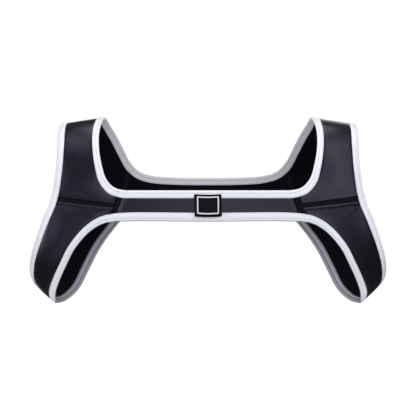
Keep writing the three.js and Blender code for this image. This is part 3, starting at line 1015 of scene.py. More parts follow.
class ThreadTree:
    """A tree of geometry nodes that lays threads along guides."""

    def __init__(self, name: str, sizes: dict[str, float]) -> None:
        """Opens the tree with its inputs.

        Args:
            name: name of the tree.
            sizes: named sizes in millimetres.
        """
        self.tree = bpy.data.node_groups.new(name, "GeometryNodeTree")
        face = self.tree.interface
        face.new_socket("Geometry", in_out="INPUT", socket_type="NodeSocketGeometry")
        self.sizes = {
            face.new_socket(size, in_out="INPUT", socket_type="NodeSocketFloat").identifier: value * MM
            for size, value in sizes.items()
        }
        self.finish = face.new_socket("Finish", in_out="INPUT", socket_type="NodeSocketMaterial").identifier
        face.new_socket("Geometry", in_out="OUTPUT", socket_type="NodeSocketGeometry")
        self.inputs = add(self.tree, "NodeGroupInput").outputs

    def close(self, geometry: Node) -> None:
        """Ends the tree in plain smooth geometry with its material.

        Args:
            geometry: the node that makes the threads.
        """
        real = add(self.tree, "GeometryNodeRealizeInstances", {"Geometry": geometry})
        smooth = add(self.tree, "GeometryNodeSetShadeSmooth", {"Geometry": real})
        dress = {"Geometry": smooth, "Material": self.inputs["Finish"]}
        add(self.tree, "NodeGroupOutput", {"Geometry": add(self.tree, "GeometryNodeSetMaterial", dress)})

    def lay(self, name: str, guides: Sequence[Guide], material: Material) -> Piece:
        """Lays threads along some guides as one plain mesh.

        Args:
            name: name of the object.
            guides: lines to follow.
            material: finish of the thread.

        Returns:
            The object.
        """
        points, sides, edges = [], [], []
        for guide in guides:
            first, count = len(points), len(guide.points)
            points += (guide.points * MM).tolist()
            sides += guide.side.tolist()
            links = count if guide.closed else count - 1
            edges += [(first + k, first + (k + 1) % count) for k in range(links)]
        mesh = bpy.data.meshes.new(name)
        mesh.from_pydata(points, edges, [])
        across = mesh.attributes.new("side", "FLOAT_VECTOR", "POINT")
        across.data.foreach_set("vector", np.array(sides, dtype=np.float32).ravel())
        piece = bpy.data.objects.new(name, mesh)
        bpy.context.scene.collection.objects.link(piece)
        maker = piece.modifiers.new("threads", "NODES")
        maker.node_group = self.tree
        for identifier, value in self.sizes.items():
            maker[identifier] = value
        maker[self.finish] = material
        depsgraph = bpy.context.evaluated_depsgraph_get()
        made = bpy.data.meshes.new_from_object(piece.evaluated_get(depsgraph), depsgraph=depsgraph)
        piece.modifiers.clear()
        piece.data = made
        made.name = name
        return piece


class LockStitch(ThreadTree):
    """Rows of lockstitch: short threads laid end to end, each sunk at both ends."""

    STITCH_SHARE = 0.45
    UNEVEN = {"Min": 0.88, "Max": 1.04, "Seed": 7}
    BEAD = {"Segments": 6, "Rings": 4, "Radius": 0.5}

    def __init__(self, name: str, pitch: float, thread: float) -> None:
        """Builds the tree.

        Args:
            name: name of the tree.
            pitch: distance from stitch to stitch in millimetres.
            thread: thickness of the thread in millimetres.
        """
        super().__init__(name, {"Pitch": pitch, "Stitch": pitch * self.STITCH_SHARE, "Thread": thread})
        tree, inputs = self.tree, self.inputs
        line = add(tree, "GeometryNodeMeshToCurve", {"Mesh": inputs["Geometry"]})
        even = {"Curve": line, "Length": inputs["Pitch"]}
        spaced = add(tree, "GeometryNodeResampleCurve", even, mode="LENGTH")
        heading = add(tree, "GeometryNodeInputTangent")
        turn = add(tree, "FunctionNodeAlignRotationToVector", {"Vector": heading}, axis="Z")
        bead = add(tree, "GeometryNodeMeshUVSphere", self.BEAD)
        sizes = {"X": inputs["Thread"], "Y": inputs["Thread"], "Z": inputs["Stitch"]}
        size = add(tree, "ShaderNodeCombineXYZ", sizes)
        uneven = add(tree, "FunctionNodeRandomValue", self.UNEVEN, data_type="FLOAT").outputs["Value"]
        grown = add(tree, "ShaderNodeVectorMath", {0: size, "Scale": uneven}, operation="SCALE")
        beads = {"Points": spaced, "Instance": bead, "Rotation": turn, "Scale": grown}
        self.close(add(tree, "GeometryNodeInstanceOnPoints", beads))


class CoverStitch(ThreadTree):
    """A zigzag of thread that crosses a flat seam from side to side."""

    def __init__(self, name: str, pitch: float, reach: float, thread: float) -> None:
        """Builds the tree.

        Args:
            name: name of the tree.
            pitch: distance from turn to turn on one side in millimetres.
            reach: how far the thread goes to each side in millimetres.
            thread: thickness of the thread in millimetres.
        """
        super().__init__(name, {"Half pitch": pitch / 2, "Reach": reach, "Thread radius": thread / 2})
        tree, inputs = self.tree, self.inputs
        line = add(tree, "GeometryNodeMeshToCurve", {"Mesh": inputs["Geometry"]})
        even = {"Curve": line, "Length": inputs["Half pitch"]}
        spaced = add(tree, "GeometryNodeResampleCurve", even, mode="LENGTH")
        index = add(tree, "GeometryNodeInputIndex")
        odd = add(tree, "ShaderNodeMath", {0: index, 1: 2.0}, operation="MODULO")
        turn = add(tree, "ShaderNodeMath", {0: odd, 1: 2.0, 2: -1.0}, operation="MULTIPLY_ADD")
        swing = add(tree, "ShaderNodeMath", {0: turn, 1: inputs["Reach"]}, operation="MULTIPLY")
        side = add(tree, "GeometryNodeInputNamedAttribute", {"Name": "side"}, data_type="FLOAT_VECTOR")
        sway = {0: side.outputs["Attribute"], "Scale": swing}
        offset = add(tree, "ShaderNodeVectorMath", sway, operation="SCALE")
        zigzag = add(tree, "GeometryNodeSetPosition", {"Geometry": spaced, "Offset": offset})
        round_section = {"Resolution": 6, "Radius": inputs["Thread radius"]}
        section = add(tree, "GeometryNodeCurvePrimitiveCircle", round_section)
        cord = {"Curve": zigzag, "Profile Curve": section, "Fill Caps": True}
        self.close(add(tree, "GeometryNodeCurveToMesh", cord))


@dataclass(frozen=True)
class Cut:
    """Flat size of a piece of cloth before it was sewn and worn, in metres and square metres."""

    width: float
    length: float
    area: float


@dataclass
class Panels:
    """The six neoprene panels, in millimetres.

    Attributes:
        pattern: the paper pattern.
        thickness: thickness of the neoprene.
        thinnest: least half thickness, at a rounded edge.
        pinch: share of the thickness that is lost under a binding.
        pinch_fade: where that loss ends, before and after the border of the binding.
        swell: how far the foam stands up beside a binding.
        swell_at: middle of that swelling from the border of the binding.
        swell_spread: half its width.
        seam_swell: how far the foam stands up beside a seam.
        seam_swell_at: middle of that swelling from the panel's edge.
        seam_swell_spread: half its width.
        cut_edge_highlight: width of the cut edge that shows beside a seam, where pale foam is painted as a
            highlight.
        edge_round: radius of the panel's edge along a seam.
        shoulder_crown: belly of a shoulder panel beside its seam, halfway and at the fold.
        underarm_crown: the same of an underarm panel.
        spacing: distance between stations.
        cuts: flat size of each kind of panel.
        sheets: middle surface of each panel, by node name.
    """

    pattern: Pattern
    thickness: float = 3.0
    thinnest: float = 0.12
    pinch: float = 0.12
    pinch_fade: tuple[float, float] = (0.5, 2.5)
    swell: float = 0.12
    swell_at: float = 3.6
    swell_spread: float = 2.4
    seam_swell: float = 0.6
    seam_swell_at: float = 2.0
    seam_swell_spread: float = 1.3
    cut_edge_highlight: float = 1.0
    edge_round: float = 1.8
    shoulder_crown: tuple[float, float, float] = (3.5, 3.5, 0.0)
    underarm_crown: tuple[float, float, float] = (3.5, 6.8, -1.2)
    spacing: float = 3.4
    cuts: dict[str, Cut] = field(
        default_factory=lambda: {
            "chest_band": Cut(0.039, 0.237, 0.009),
            "back_band": Cut(0.066, 0.226, 0.0104),
            "shoulder_panel": Cut(0.1, 0.3, 0.0185),
            "underarm_panel": Cut(0.1, 0.34, 0.0203),
        }
    )
    sheets: dict[str, Sheet] = field(default_factory=dict)

    NEAR_SEAM = (0, 0.1, 0.25, 0.45, 0.75, 1.1, 1.6, 2.3, 3.2, 4.5)
    NEXT_AFTER = 1.3
    FEWEST = 4
    NO_SEAM = 1e3

    def stations(self, rail: Rail, seam_at: End | None = None) -> Array:
        """Shares along a rail, close together beside a seam.

        Args:
            rail: the rail.
            seam_at: FRONT for a seam at its start, BACK for one at its end.

        Returns:
            The shares in order.
        """
        even = np.linspace(0, 1, max(self.FEWEST, round(rail.length / self.spacing)) + 1)
        if seam_at is None:
            return even
        near = np.array(self.NEAR_SEAM) / rail.length
        shares = np.concatenate([near, even[even > near[-1] * self.NEXT_AFTER]])
        return shares if seam_at is End.FRONT else 1 - shares[::-1]

    def band(self, end: End) -> Sheet:
        """The chest band from right to left, or the back band from left to right.

        Args:
            end: chest or back.

        Returns:
            The middle surface.
        """
        pattern = self.pattern
        offset = -end.sign * pattern.seam_offset
        low = pattern.beside_seam(pattern.hem, end, offset)
        high = pattern.beside_seam(pattern.neck, end, offset)
        if end is End.FRONT:
            outer, inner = pattern.hem.run(-low, low), pattern.neck.run(-high, high)
        else:
            outer = pattern.hem.run(low, pattern.hem.length - low)
            inner = pattern.neck.run(high, pattern.neck.length - high)
        first = self.stations(inner, End.FRONT)
        shares = np.concatenate([first[first < 0.5], 1 - first[first < 0.5][::-1]])
        return Sheet.between([Span(outer, inner, shares)])

    def limb(
        self, edge: Edge, fold: str, ends: tuple[End, End], crown: tuple[float, float, float]
    ) -> Sheet:
        """A left limb panel: along one limb seam, to the fold, from the fold and along the other limb seam.

        Args:
            edge: the neck or the hem.
            fold: name of the row at the fold, on that edge and on the armhole.
            ends: where the panel starts and where it ends.
            crown: belly beside the seam, halfway and at the fold.

        Returns:
            The middle surface.
        """
        pattern, armhole = self.pattern, self.pattern.armhole
        first, last = ends
        lift = first.sign * pattern.limb_offset
        far_seam = pattern.limb_seam_line(last, lift)
        seams = [
            Rail.bare(pattern.limb_seam_line(first, lift)),
            Rail.bare(lambda shares: far_seam(1 - np.asarray(shares))),
        ]
        # The crest is the start of the armhole, and its end as well.
        turn = armhole.at(fold)
        outer = [
            armhole.run(armhole.at(f"{first.value}_seam") - pattern.limb_offset, turn),
            armhole.run(turn or armhole.length, armhole.at(f"{last.value}_seam") + pattern.limb_offset),
        ]
        seats = [pattern.beside_seam(edge, end, end.sign * pattern.seam_offset) for end in ends]
        corners = [edge.at(f"{end.value}_corner") for end in ends]
        stops = [seats[0], corners[0], edge.at(fold), corners[1], seats[1]]
        inner = [edge.run(start, stop) for start, stop in zip(stops, stops[1:])]
        near, middle, far = crown
        return Sheet.between(
            [
                Span(seams[0], inner[0], self.stations(inner[0], End.FRONT)[:-1], (0, near / 2, near)),
                Span(outer[0], inner[1], self.stations(outer[0]), (near, middle, far)),
                Span(outer[1], inner[2], self.stations(outer[1])[1:], (far, middle, near)),
                Span(seams[1], inner[3], self.stations(inner[3], End.BACK)[1:], (near, near / 2, 0)),
            ]
        )

    def half_thickness(self, sheet: Sheet) -> Array:
        """Half the thickness of a panel: pinched under its bindings and rounded along its seams.

        Args:
            sheet: middle surface of the panel.

        Returns:
            Half thicknesses, stations by columns.
        """
        half = np.full(sheet.mid.shape[:2], self.thickness / 2)
        edges = [sheet.from_start, sheet.from_end]
        before, after = self.pinch_fade
        for side in Side:
            tape = sheet.tapes[side][:, None]
            gap = sheet.gaps[side]
            pinched = 1 - self.pinch * (1 - smooth_step(tape - before, tape + after, gap))
            raised = self.swell * bell(gap, tape + self.swell_at, self.swell_spread)
            half = np.where(tape > 0, half * pinched + raised, half)
            edges.append(np.where(tape > 0, self.NO_SEAM, gap))
        for gap in edges:
            inside = 1 - np.minimum(gap / self.edge_round, 1)
            raised = self.seam_swell * bell(gap, self.seam_swell_at, self.seam_swell_spread)
            half = (half + raised) * np.sqrt(1 - inside**2)
        return np.maximum(half, self.thinnest)

    def finishes(self, name: str, sheet: Sheet) -> Array:
        """Chooses knit outside, lining inside and pale foam along the cut edges that face the light, partly
        the foam's colour and partly a painted highlight.

        Args:
            name: node that the panel stands for.
            sheet: its middle surface.

        Returns:
            Material index of each face, stations by strips.
        """
        columns = sheet.mid.shape[1] - 2 * Sheet.RAW
        finish = np.ones((len(sheet.mid), 2 * columns), dtype=int)
        finish[:, : columns - 1] = 0
        # Painted highlight: pale foam goes only on edges that face the light: one end of each band (the
        # chest band's left end) and the underarm panels' edge along the limb seam, which faces up; the
        # shoulder panels' edge, which faces down, keeps the knit.
        cut = sheet.from_end < self.cut_edge_highlight
        if name.startswith("underarm"):
            cut = (sheet.gaps[Side.OUTER] < self.cut_edge_highlight) & (sheet.tapes[Side.OUTER] == 0)[:, None]
        if not name.startswith("shoulder"):
            finish[:, : columns - 1][cut[:, Sheet.RAW : -Sheet.RAW - 1]] = 2
        return finish

    def piece(self, name: str, sheet: Sheet, palette: Palette) -> Piece:
        """Lofts one panel with its knit face outside and its lining inside.

        Args:
            name: node that the panel stands for.
            sheet: its middle surface.
            palette: the finishes.

        Returns:
            The panel.
        """
        half = self.half_thickness(sheet)[..., None]
        columns = slice(Sheet.RAW, -Sheet.RAW)
        face = (sheet.mid + sheet.normal * half)[:, columns]
        lining = (sheet.mid - sheet.normal * half)[:, columns]
        rings = np.concatenate([face, lining[:, ::-1]], axis=1)
        change = (sheet.eased - sheet.normal)[:, columns]
        ease = np.concatenate([change, -change[:, ::-1]], axis=1)
        # The bands' cut edge takes the paler foam, a stronger painted highlight.
        cut = palette.band_foam_painted_highlight if name.endswith("band") else palette.foam
        cloths = [palette.face, palette.lining, cut]
        panel = loft(name, rings, False, cloths, self.finishes(name, sheet), ease=ease)
        return ride(panel, "neoprene", name)

    def build(self, palette: Palette) -> None:
        """Args:
            palette: the finishes.
        """
        forward, backward = (End.FRONT, End.BACK), (End.BACK, End.FRONT)
        shoulder = self.limb(self.pattern.neck, "crest", forward, self.shoulder_crown)
        underarm = self.limb(self.pattern.hem, "bottom", backward, self.underarm_crown)
        self.sheets = {
            "chest_band": self.band(End.FRONT),
            "back_band": self.band(End.BACK),
            "shoulder_panel_left": shoulder,
            "shoulder_panel_right": shoulder.mirrored(),
            "underarm_panel_left": underarm,
            "underarm_panel_right": underarm.mirrored(),
        }
        for name, sheet in self.sheets.items():
            panel = self.piece(name, sheet, palette)


@dataclass
class Bindings:
    """Folded tape along every edge, in millimetres.

    Attributes:
        body: height of the tape's face over the middle of the panel.
        foot: height of its underside.
        puff: how far it swells between its two stitch rows.
        groove: how far each stitch row draws it in.
        groove_spreads: half the width of the groove of the first row and of the second.
        lip: how far its border bends down.
        lip_reach: how far from the border that bend starts.
        fold: how far in the rounding of the fold reaches.
        first_row: first stitch row from the finished edge.
        second_row: second stitch row from the border of the tape.
        dip: how far the tape sinks over a seam.
        pitch: distance from stitch to stitch, drawn coarser than real stitches so that they show.
        thread: thickness of the thread, drawn coarser for the same reason.
        sink: how deep the middle of a stitch lies in the tape, as a share of its thickness.
        tape_width: width of the tape before it was folded, in metres.
    """

    body: float = 2.0
    foot: float = 1.15
    puff: float = 0.28
    groove: float = 0.15
    groove_spreads: tuple[float, float] = (0.6, 0.5)
    lip: float = 0.22
    lip_reach: float = 0.6
    fold: float = 1.9
    first_row: float = 3.7
    second_row: float = 1.0
    dip: float = 0.55
    pitch: float = 4.0
    thread: float = 0.85
    sink: float = 0.05
    tape_width: float = 0.024

    def heights(self, run: TapeRun) -> Array:
        """Heights of the tape's face over the middle of the panel.

        Args:
            run: stations of the tape.

        Returns:
            Heights, stations by columns.
        """
        width = run.width[:, None]
        far = width - self.second_row
        bend = np.sqrt(1 - (1 - np.minimum(run.inset / self.fold, 1)) ** 2)
        between = np.clip((run.inset - self.first_row) / (far - self.first_row), 0, 1)
        puff = self.puff * np.sin(math.pi * between)
        first, second = self.groove_spreads
        groove = self.groove * (bell(run.inset, self.first_row, first) + bell(run.inset, far, second))
        lip = self.lip * smooth_step(width - self.lip_reach, width, run.inset)
        return bend * (self.body + puff - groove - lip - run.dip[:, None])

    def piece(self, name: str, run: TapeRun, palette: Palette) -> Piece:
        """Lofts one closed loop of tape.

        Args:
            name: node that the loop stands for.
            run: its stations.
            palette: the finishes.

        Returns:
            The loop of tape.
        """
        height = self.heights(run)[..., None]
        over = run.mid + run.normal * height
        under = run.mid - run.normal * height
        border, root = run.mid.shape[1] - 1, Sheet.RAW
        foot = [
            run.mid[:, [column]] + sign * self.foot * run.normal[:, [column]]
            for column, sign in ((border, -1), (root, -1), (root, 1), (border, 1))
        ]
        rings = np.concatenate([over[:, ::-1], under[:, 1:], *foot], axis=1)
        inset = run.inset
        ends = inset[:, [border, root, root, border]] * np.array([-1, -1, 1, 1])
        around = np.concatenate([inset[:, ::-1], -inset[:, 1:], ends], axis=1)
        finish = np.array([0] * border + [1] * (rings.shape[1] - border))
        # The inner faces of the tapes take grey that is painted shade, a darker grey along the hem for
        # painted shadow.
        back = palette.hem_back if name == "hem_binding" else palette.tape_back_painted_shade
        # The arm and hem tapes take the copy whose fold is painted dark as shade.
        face = palette.tape if name == "neck_binding" else palette.outer_tape
        tape = loft(name, rings, True, [face, back], finish, around)
        far = np.abs(np.abs(around) - (run.width[:, None] - self.second_row))
        gaps = np.minimum(np.abs(np.abs(around) - self.first_row), far)
        layer = tape.data.attributes.new("row_gap", "FLOAT", "POINT")
        layer.data.foreach_set("value", gaps.astype(np.float32).ravel())
        return ride(tape, "binding_tape", name)

    def row(self, run: TapeRun, column: int) -> list[Guide]:
        """A stitch row along a column of the tape.

        Args:
            run: stations of the tape.
            column: the column.

        Returns:
            A guide on each of its two faces.
        """
        height = self.heights(run)[:, column, None] - self.thread * self.sink
        middle, normal = run.mid[:, column], run.normal[:, column]
        return [Guide(middle + sign * height * normal, normal, True) for sign in (1, -1)]

    def build(self, sheets: dict[str, Sheet], palette: Palette) -> None:
        """Args:
            sheets: middle surfaces of the panels by node name.
            palette: the finishes.
        """
        inner = {name: sheet.tape_run(Side.INNER) for name, sheet in sheets.items()}
        outer = {name: sheet.tape_run(Side.OUTER) for name, sheet in sheets.items()}
        shoulder = {hand: f"shoulder_panel_{hand.value}" for hand in Hand}
        underarm = {hand: f"underarm_panel_{hand.value}" for hand in Hand}
        loops = {
            "neck_binding": [
                inner["chest_band"],
                inner[shoulder[Hand.LEFT]],
                inner["back_band"],
                inner[shoulder[Hand.RIGHT]],
            ],
            "hem_binding": [
                outer["chest_band"],
                inner[underarm[Hand.RIGHT]],
                outer["back_band"],
                inner[underarm[Hand.LEFT]],
            ],
        }
        for hand in Hand:
            loops[f"arm_binding_{hand.value}"] = [outer[shoulder[hand]], outer[underarm[hand]]]
        stitch = LockStitch("binding_stitches", self.pitch, self.thread)
        first = Sheet.FOLD.tolist().index(self.first_row)
        second = len(Sheet.FOLD) + Sheet.BORDER.tolist().index(self.second_row)
        for name, runs in loops.items():
            run = TapeRun.joined(runs, self.dip)
            tape = self.piece(name, run, palette)
            rows = {
                "stitching": (first, palette.grey_thread_painted_shade),
                "border_stitching": (second, palette.pale_thread),
            }
            threads = [
                stitch.lay(name.replace("binding", kind), self.row(run, column), material)
                for kind, (column, material) in rows.items()
            ]
            for thread in threads:
                ride(thread, "binding_tape")


@dataclass
class Seams:
    """Flat seams between the panels, in millimetres.

    Attributes:
        pattern: the paper pattern.
        tuck: how far a seam reaches under the edges of the panels.
        half_thickness: height of its crown over the middle of the panel.
        roll: heights across a seam, as shares of its crown.
        inset: end of a seam inside the fold of the binding.
        steps: stretches along a seam.
        pitch: distance between two turns of the covering thread.
        reach: how far that thread goes to each side.
        thread: thickness of the thread.
    """

    pattern: Pattern
    tuck: float = 0.75
    half_thickness: float = 1.2
    roll: tuple[float, ...] = (0.4, 0.85, 1.0, 0.85, 0.4)
    inset: float = 1.8
    steps: int = 24
    pitch: float = 2.4
    reach: float = 2.5
    thread: float = 0.55

    def strip(self, kind: str, end: End) -> tuple[Array, Array]:
        """Middle surface of a left-hand seam.

        Args:
            kind: band or limb.
            end: chest or back.

        Returns:
            Points and normals, stations by columns.
        """
        line = self.pattern.band_seam_line if kind == "band" else self.pattern.limb_seam_line
        middle = line(end, 0.0)(np.array([0.0, 1.0]))
        inset = self.inset / float(np.linalg.norm(middle[1] - middle[0]))
        first = inset if kind == "band" else -inset / 2
        shares = np.linspace(first, 1 - inset, self.steps + 1)
        sign = 1 if kind == "band" else -end.sign
        half = self.tuck + (self.pattern.seam_offset if kind == "band" else self.pattern.limb_offset)
        offsets = np.linspace(sign * half, -sign * half, len(self.roll))
        mid = np.stack([line(end, offset)(shares) for offset in offsets], axis=1)
        across = np.broadcast_to(mid[:, -1:] - mid[:, :1], mid.shape)
        along = np.gradient(mid, axis=0)
        return mid, unit(np.cross(across, along))

    def sew(
        self,
        kind: str,
        place: str,
        mid: Array,
        normal: Array,
        cover: CoverStitch,
        palette: Palette,
    ) -> None:
        """Builds one seam and the thread that covers it on both faces.

        Args:
            kind: band or limb.
            place: end and hand of the seam, as its node names them.
            mid: middle surface, stations by columns.
            normal: its normals.
            cover: lays the covering thread.
            palette: the finishes.
        """
        profile = np.array(self.roll)[None, :, None] * self.half_thickness
        crown = len(self.roll) // 2
        face, lining = mid + normal * profile, mid - normal * profile
        rings = np.concatenate([face, lining[:, ::-1]], axis=1)
        name = f"{kind}_seam_{place}"
        strip = loft(name, rings, False, [palette.seam], np.zeros(rings.shape[1], dtype=int))
        ride(strip, "seam_thread", name)
        side = unit(mid[:, -1] - mid[:, 0])
        guides = [
            Guide(mid[:, crown] + sign * normal[:, crown] * self.half_thickness, side, False)
            for sign in (1, -1)
        ]
        ride(cover.lay(f"{kind}_stitching_{place}", guides, palette.black_thread), "seam_thread")

    def build(self, palette: Palette) -> None:
        """Builds the eight seams with their threads.

        Args:
            palette: the finishes.
        """
        cover = CoverStitch("seam_cover", self.pitch, self.reach, self.thread)
        for kind in ("limb", "band"):
            for end in End:
                mid, normal = self.strip(kind, end)
                for hand in Hand:
                    if hand is Hand.RIGHT:
                        mid, normal = flip(mid)[::-1], flip(normal)[::-1]
                    self.sew(kind, f"{end.value}_{hand.value}", mid, normal, cover, palette)


@dataclass(frozen=True)
class Plate:
    """A rounded rectangle on the chest, in millimetres.

    Attributes:
        width: overall width.
        height: overall height.
        corner: radius of its corners.
        middle: height of its centre.
        lean: sideways shift of the lower edge, as a share of the height.
        sag: how far the middle hangs below the ends.
        corner_loss: how much of an inset its corners lose in radius.
        least_corner: least radius of a corner.
        corner_steps: stretches round a corner.
        side_steps: points along a side between two corners.
    """

    width: float
    height: float
    corner: float
    middle: float
    lean: float
    sag: float = 0.8
    corner_loss: float = 0.6
    least_corner: float = 0.5
    corner_steps: int = 6
    side_steps: int = 8

    def outline(self, inset: float, depth: float) -> Array:
        """The rectangle drawn smaller.

        Args:
            inset: how far its sides move in.
            depth: where it lies from front to back.

        Returns:
            Points of the closed outline.
        """
        corner = max(self.corner - self.corner_loss * inset, self.least_corner)
        across, up = self.width / 2 - inset - corner, self.height / 2 - inset - corner
        signs = np.array([(1, 1), (-1, 1), (-1, -1), (1, -1)])
        turns = np.linspace(0, math.pi / 2, self.corner_steps + 1)
        corners = []
        for quarter, sign in enumerate(signs):
            angle = turns + quarter * math.pi / 2
            arc = np.stack([np.cos(angle), np.sin(angle)], axis=1)
            corners.append(sign * (across, up) + corner * arc)
        shares = np.linspace(0, 1, self.side_steps + 2)[1:-1, None]
        points = []
        for here, after in zip(corners, corners[1:] + corners[:1]):
            points += [here, here[-1] + shares * (after[0] - here[-1])]
        x, z = np.concatenate(points).T
        sagged = z - self.sag * (1 - (2 * x / self.width) ** 2)
        return np.stack([x - self.lean * z, np.full_like(x, depth), sagged + self.middle], axis=1)


@dataclass
class Patch:
    """Moulded rubber patch sewn on the chest band, in millimetres.

    Attributes:
        plate: outline of the patch.
        frame: outer border of the raised line.
        back: depth of its underside, on the band.
        front: depth of its face.
        under_round: rounding of its lower edge.
        line_width: width of the raised line.
        line_rise: height of the raised line.
        line_foot: how deep the raised line starts in the slab.
        channel: middle of the sewing channel from the edge of the patch.
        stitch_depth: depth of the stitches under the face.
        pitch: distance from stitch to stitch.
        thread: thickness of the thread.
    """

    plate: Plate = Plate(35.8, 29.4, 1.6, -114.7, 0.03)
    frame: Plate = Plate(28.8, 23.3, 1.6, -114.1, 0.01)
    back: float = -97.4
    front: float = -100.9
    under_round: float = 0.3
    line_width: float = 1.8
    line_rise: float = 0.7
    line_foot: float = 0.1
    channel: float = 1.5
    stitch_depth: float = 0.25
    pitch: float = 2.4
    thread: float = 0.45

    # Steps inwards and down from the face: edge of the slab, channel, field and raised line.
    EDGE = ((0.0, 0.5), (0.12, 0.2), (0.4, 0.04), (0.7, 0.0))
    CHANNEL = ((-0.45, 0.0), (-0.25, 0.35), (0.25, 0.35), (0.45, 0.0))
    FIELD = ((0.1, 0.0), (0.4, 0.3), (2.5, 0.3), (6.0, 0.3))
    LINE = ((0.06, 0.3), (0.3, 0.06), (0.7, 0.0))

    def slab(self, palette: Palette) -> Piece:
        """The black slab, with softened edges, a sewing channel and a sunken field.

        Args:
            palette: the finishes.

        Returns:
            The slab.
        """
        rim = [(self.under_round, self.back), (0.0, self.back - self.under_round)]
        rim += [(inset, self.front + drop) for inset, drop in self.EDGE]
        rim += [(self.channel + inset, self.front + drop) for inset, drop in self.CHANNEL]
        sunken = [(self.line_width / 2, self.front)]
        sunken += [(self.line_width + inset, self.front + drop) for inset, drop in self.FIELD]
        steps = [(self.plate, rim), (self.frame, sunken)]
        rings = np.stack([plate.outline(*step) for plate, profile in steps for step in profile])
        slab = loft("patch", rings, False, [palette.rubber], np.zeros(rings.shape[1], dtype=int))
        return ride(slab, "patch_rubber", "patch")

    def line(self, palette: Palette) -> Piece:
        """The raised pale line, rounded across.

        Args:
            palette: the finishes.

        Returns:
            The line.
        """
        far, top, foot = self.line_width, self.front - self.line_rise, self.front + self.line_foot
        near_side = [(0.0, foot)] + [(inset, top + drop) for inset, drop in self.LINE]
        profile = near_side + [(far - inset, depth) for inset, depth in reversed(near_side)]
        rings = np.stack([self.frame.outline(inset, depth) for inset, depth in profile], axis=1)
        line = loft("patch_frame", rings, True, [palette.line], np.zeros(len(profile), dtype=int))
        return ride(line, "patch_line", "patch_frame")

    def build(self, palette: Palette) -> None:
        """Builds the stitches that hold the patch, the slab and the line.

        Args:
            palette: the finishes.
        """
        path = self.plate.outline(self.channel, self.front + self.stitch_depth)
        stitch = LockStitch("patch_stitches", self.pitch, self.thread)
        guide = Guide(path, np.zeros_like(path), True)
        threads = stitch.lay("patch_stitching", [guide], palette.black_thread)
        self.slab(palette)
        self.line(palette)
        ride(threads, "patch_rubber")


@dataclass(frozen=True)
class Lamp:
    """A white soft box of the studio: its place and size in metres and its power in watts."""

    name: str
    place: tuple[float, float, float]
    size: float
    power: float

    def build(self, target: Vector) -> None:
        """Hangs the lamp and turns it to the target.

        Args:
            target: point that the lamp shines at.
        """
        light = bpy.data.lights.new(self.name, "AREA")
        light.shape = "DISK"
        light.size = self.size
        light.energy = self.power
        lamp = bpy.data.objects.new(self.name, light)
        lamp.location = self.place
        lamp.rotation_euler = (target - Vector(self.place)).to_track_quat("-Z", "Y").to_euler()
        bpy.context.scene.collection.objects.link(lamp)


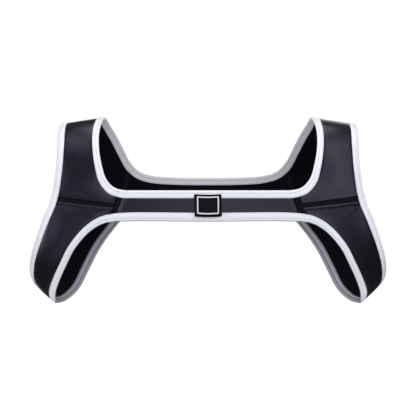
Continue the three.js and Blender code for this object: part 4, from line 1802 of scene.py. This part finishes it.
@dataclass
class Studio:
    """Camera, soft light and a plain pale floor, in metres.

    Attributes:
        target: point that the camera looks at.
        distance: camera from that point.
        elevation: height of the camera over the horizon in degrees.
        lens: focal length in millimetres.
        sensor: width of the camera's sensor in millimetres.
        clip: nearest and farthest distance that the camera sees.
        floor_height: height of the floor.
        floor_radius: radius of the floor.
        floor_sides: sides of the round floor.
        floor_blend: distances from its middle between which the floor fades into the backdrop.
        floor_glow: share of the backdrop's white in the middle of the floor and at its rim.
        ambient: brightness of the surroundings that light the harness.
        lamps: the soft boxes.
    """

    target: Vector = field(default_factory=lambda: Vector((0.0, 0.0, -0.12337)))
    distance: float = 1.9
    elevation: float = 3.0
    lens: float = 119.172
    sensor: float = 36.0
    clip: tuple[float, float] = (0.05, 50.0)
    floor_height: float = -0.62
    floor_radius: float = 1.5
    floor_sides: int = 96
    floor_blend: tuple[float, float] = (0.2, 0.95)
    floor_glow: tuple[float, float] = (0.55, 1.0)
    ambient: float = 0.07
    lamps: tuple[Lamp, ...] = (
        Lamp("front", (-0.1, -2.4, 0.6), 0.8, 13.0),
        Lamp("right_front", (0.9, -2.1, 0.4), 0.9, 6.0),
        Lamp("low_front", (0.15, -2.2, -0.75), 0.9, 11.0),
        Lamp("low_left_front", (-1.0, -1.9, -1.0), 0.9, 3.0),
        Lamp("low_left", (-1.7, -1.7, 0.1), 0.9, 5.6),
        Lamp("right", (1.35, -1.4, 0.75), 1.4, 12.0),
        Lamp("right_top", (0.9, -0.8, 1.5), 1.2, 10.0),
        Lamp("left_top", (-1.1, -0.5, 1.6), 1.1, 7.5),
        Lamp("left_side", (-2.2, -0.4, 0.2), 1.0, 15.5),
        Lamp("top", (0.0, 0.35, 1.8), 1.3, 16.0),
        Lamp("below", (0.0, 0.2, -1.7), 1.2, 16.0),
        Lamp("back", (0.4, 2.2, -0.05), 2.0, 30.0),
        Lamp("back_left", (-1.3, 1.7, -0.1), 2.0, 8.0),
    )

    def camera(self) -> None:
        """Sets up the camera in front of the harness."""
        lens = bpy.data.cameras.new("camera")
        lens.lens = self.lens
        lens.sensor_width = self.sensor
        lens.sensor_fit = "HORIZONTAL"
        lens.clip_start, lens.clip_end = self.clip
        camera = bpy.data.objects.new("camera", lens)
        rise = math.radians(self.elevation)
        camera.location = self.target + self.distance * Vector((0, -math.cos(rise), math.sin(rise)))
        camera.rotation_euler = (self.target - camera.location).to_track_quat("-Z", "Y").to_euler()
        bpy.context.scene.collection.objects.link(camera)
        bpy.context.scene.camera = camera

    def surroundings(self) -> None:
        """A white backdrop that lights the harness only faintly."""
        world = bpy.data.worlds.new("studio")
        world.use_nodes = True
        tree = world.node_tree
        tree.nodes.clear()
        seen = add(tree, "ShaderNodeLightPath").outputs["Is Camera Ray"]
        strength = add(tree, "ShaderNodeMapRange", {"Value": seen, "To Min": self.ambient, "To Max": 1.0})
        sky = add(tree, "ShaderNodeBackground", {"Color": linear("#ffffff"), "Strength": strength})
        add(tree, "ShaderNodeOutputWorld", {"Surface": sky})
        bpy.context.scene.world = world
        bpy.context.scene.view_settings.view_transform = "Standard"
        bpy.context.scene.view_settings.look = "None"

    def paper(self) -> Material:
        """Pale matt paper that fades into the white backdrop away from its middle.

        Returns:
            The material of the floor.
        """
        material = bpy.data.materials.new("pale_paper")
        material.use_nodes = True
        tree = material.node_tree
        tree.nodes.clear()
        place = add(tree, "ShaderNodeTexCoord").outputs["Object"]
        away = add(tree, "ShaderNodeVectorMath", {0: place}, operation="LENGTH").outputs["Value"]
        (near, far), (low, high) = self.floor_blend, self.floor_glow
        reach = {"Value": away, "From Min": near, "From Max": far, "To Min": low, "To Max": high}
        fade = add(tree, "ShaderNodeMapRange", reach, interpolation_type="SMOOTHSTEP")
        matt = add(tree, "ShaderNodeBsdfDiffuse", {"Color": linear("#f4f4f4")})
        glow = add(tree, "ShaderNodeEmission", {"Color": linear("#ffffff"), "Strength": 1.0})
        blend = add(tree, "ShaderNodeMixShader", {0: fade, 1: matt, 2: glow})
        add(tree, "ShaderNodeOutputMaterial", {"Surface": blend})
        return material

    def floor(self) -> None:
        """A round pale floor below the harness that throws no light back at it."""
        turns = np.linspace(0, 2 * math.pi, self.floor_sides, endpoint=False)
        rim = np.stack([np.cos(turns), np.sin(turns), np.zeros_like(turns)], axis=1) * self.floor_radius
        mesh = bpy.data.meshes.new("floor")
        mesh.from_pydata(rim.tolist(), [], [tuple(range(len(rim)))])
        mesh.materials.append(self.paper())
        floor = bpy.data.objects.new("floor", mesh)
        floor.location.z = self.floor_height
        floor.visible_diffuse = False
        floor.visible_glossy = False
        floor.visible_shadow = False
        bpy.context.scene.collection.objects.link(floor)

    def build(self) -> None:
        """Sets up the whole studio."""
        self.camera()
        self.surroundings()
        self.floor()
        for lamp in self.lamps:
            lamp.build(self.target)


def main() -> None:
    """Dresses the harness piece by piece and sets up the studio."""
    logging.basicConfig(level=logging.INFO, format="%(name)s: %(message)s")
    palette = Palette()
    pattern = Pattern()
    panels = Panels(pattern)
    panels.build(palette)
    Bindings().build(panels.sheets, palette)
    Seams(pattern).build(palette)
    Patch().build(palette)
    Studio().build()


if __name__ == "__main__":
    main()
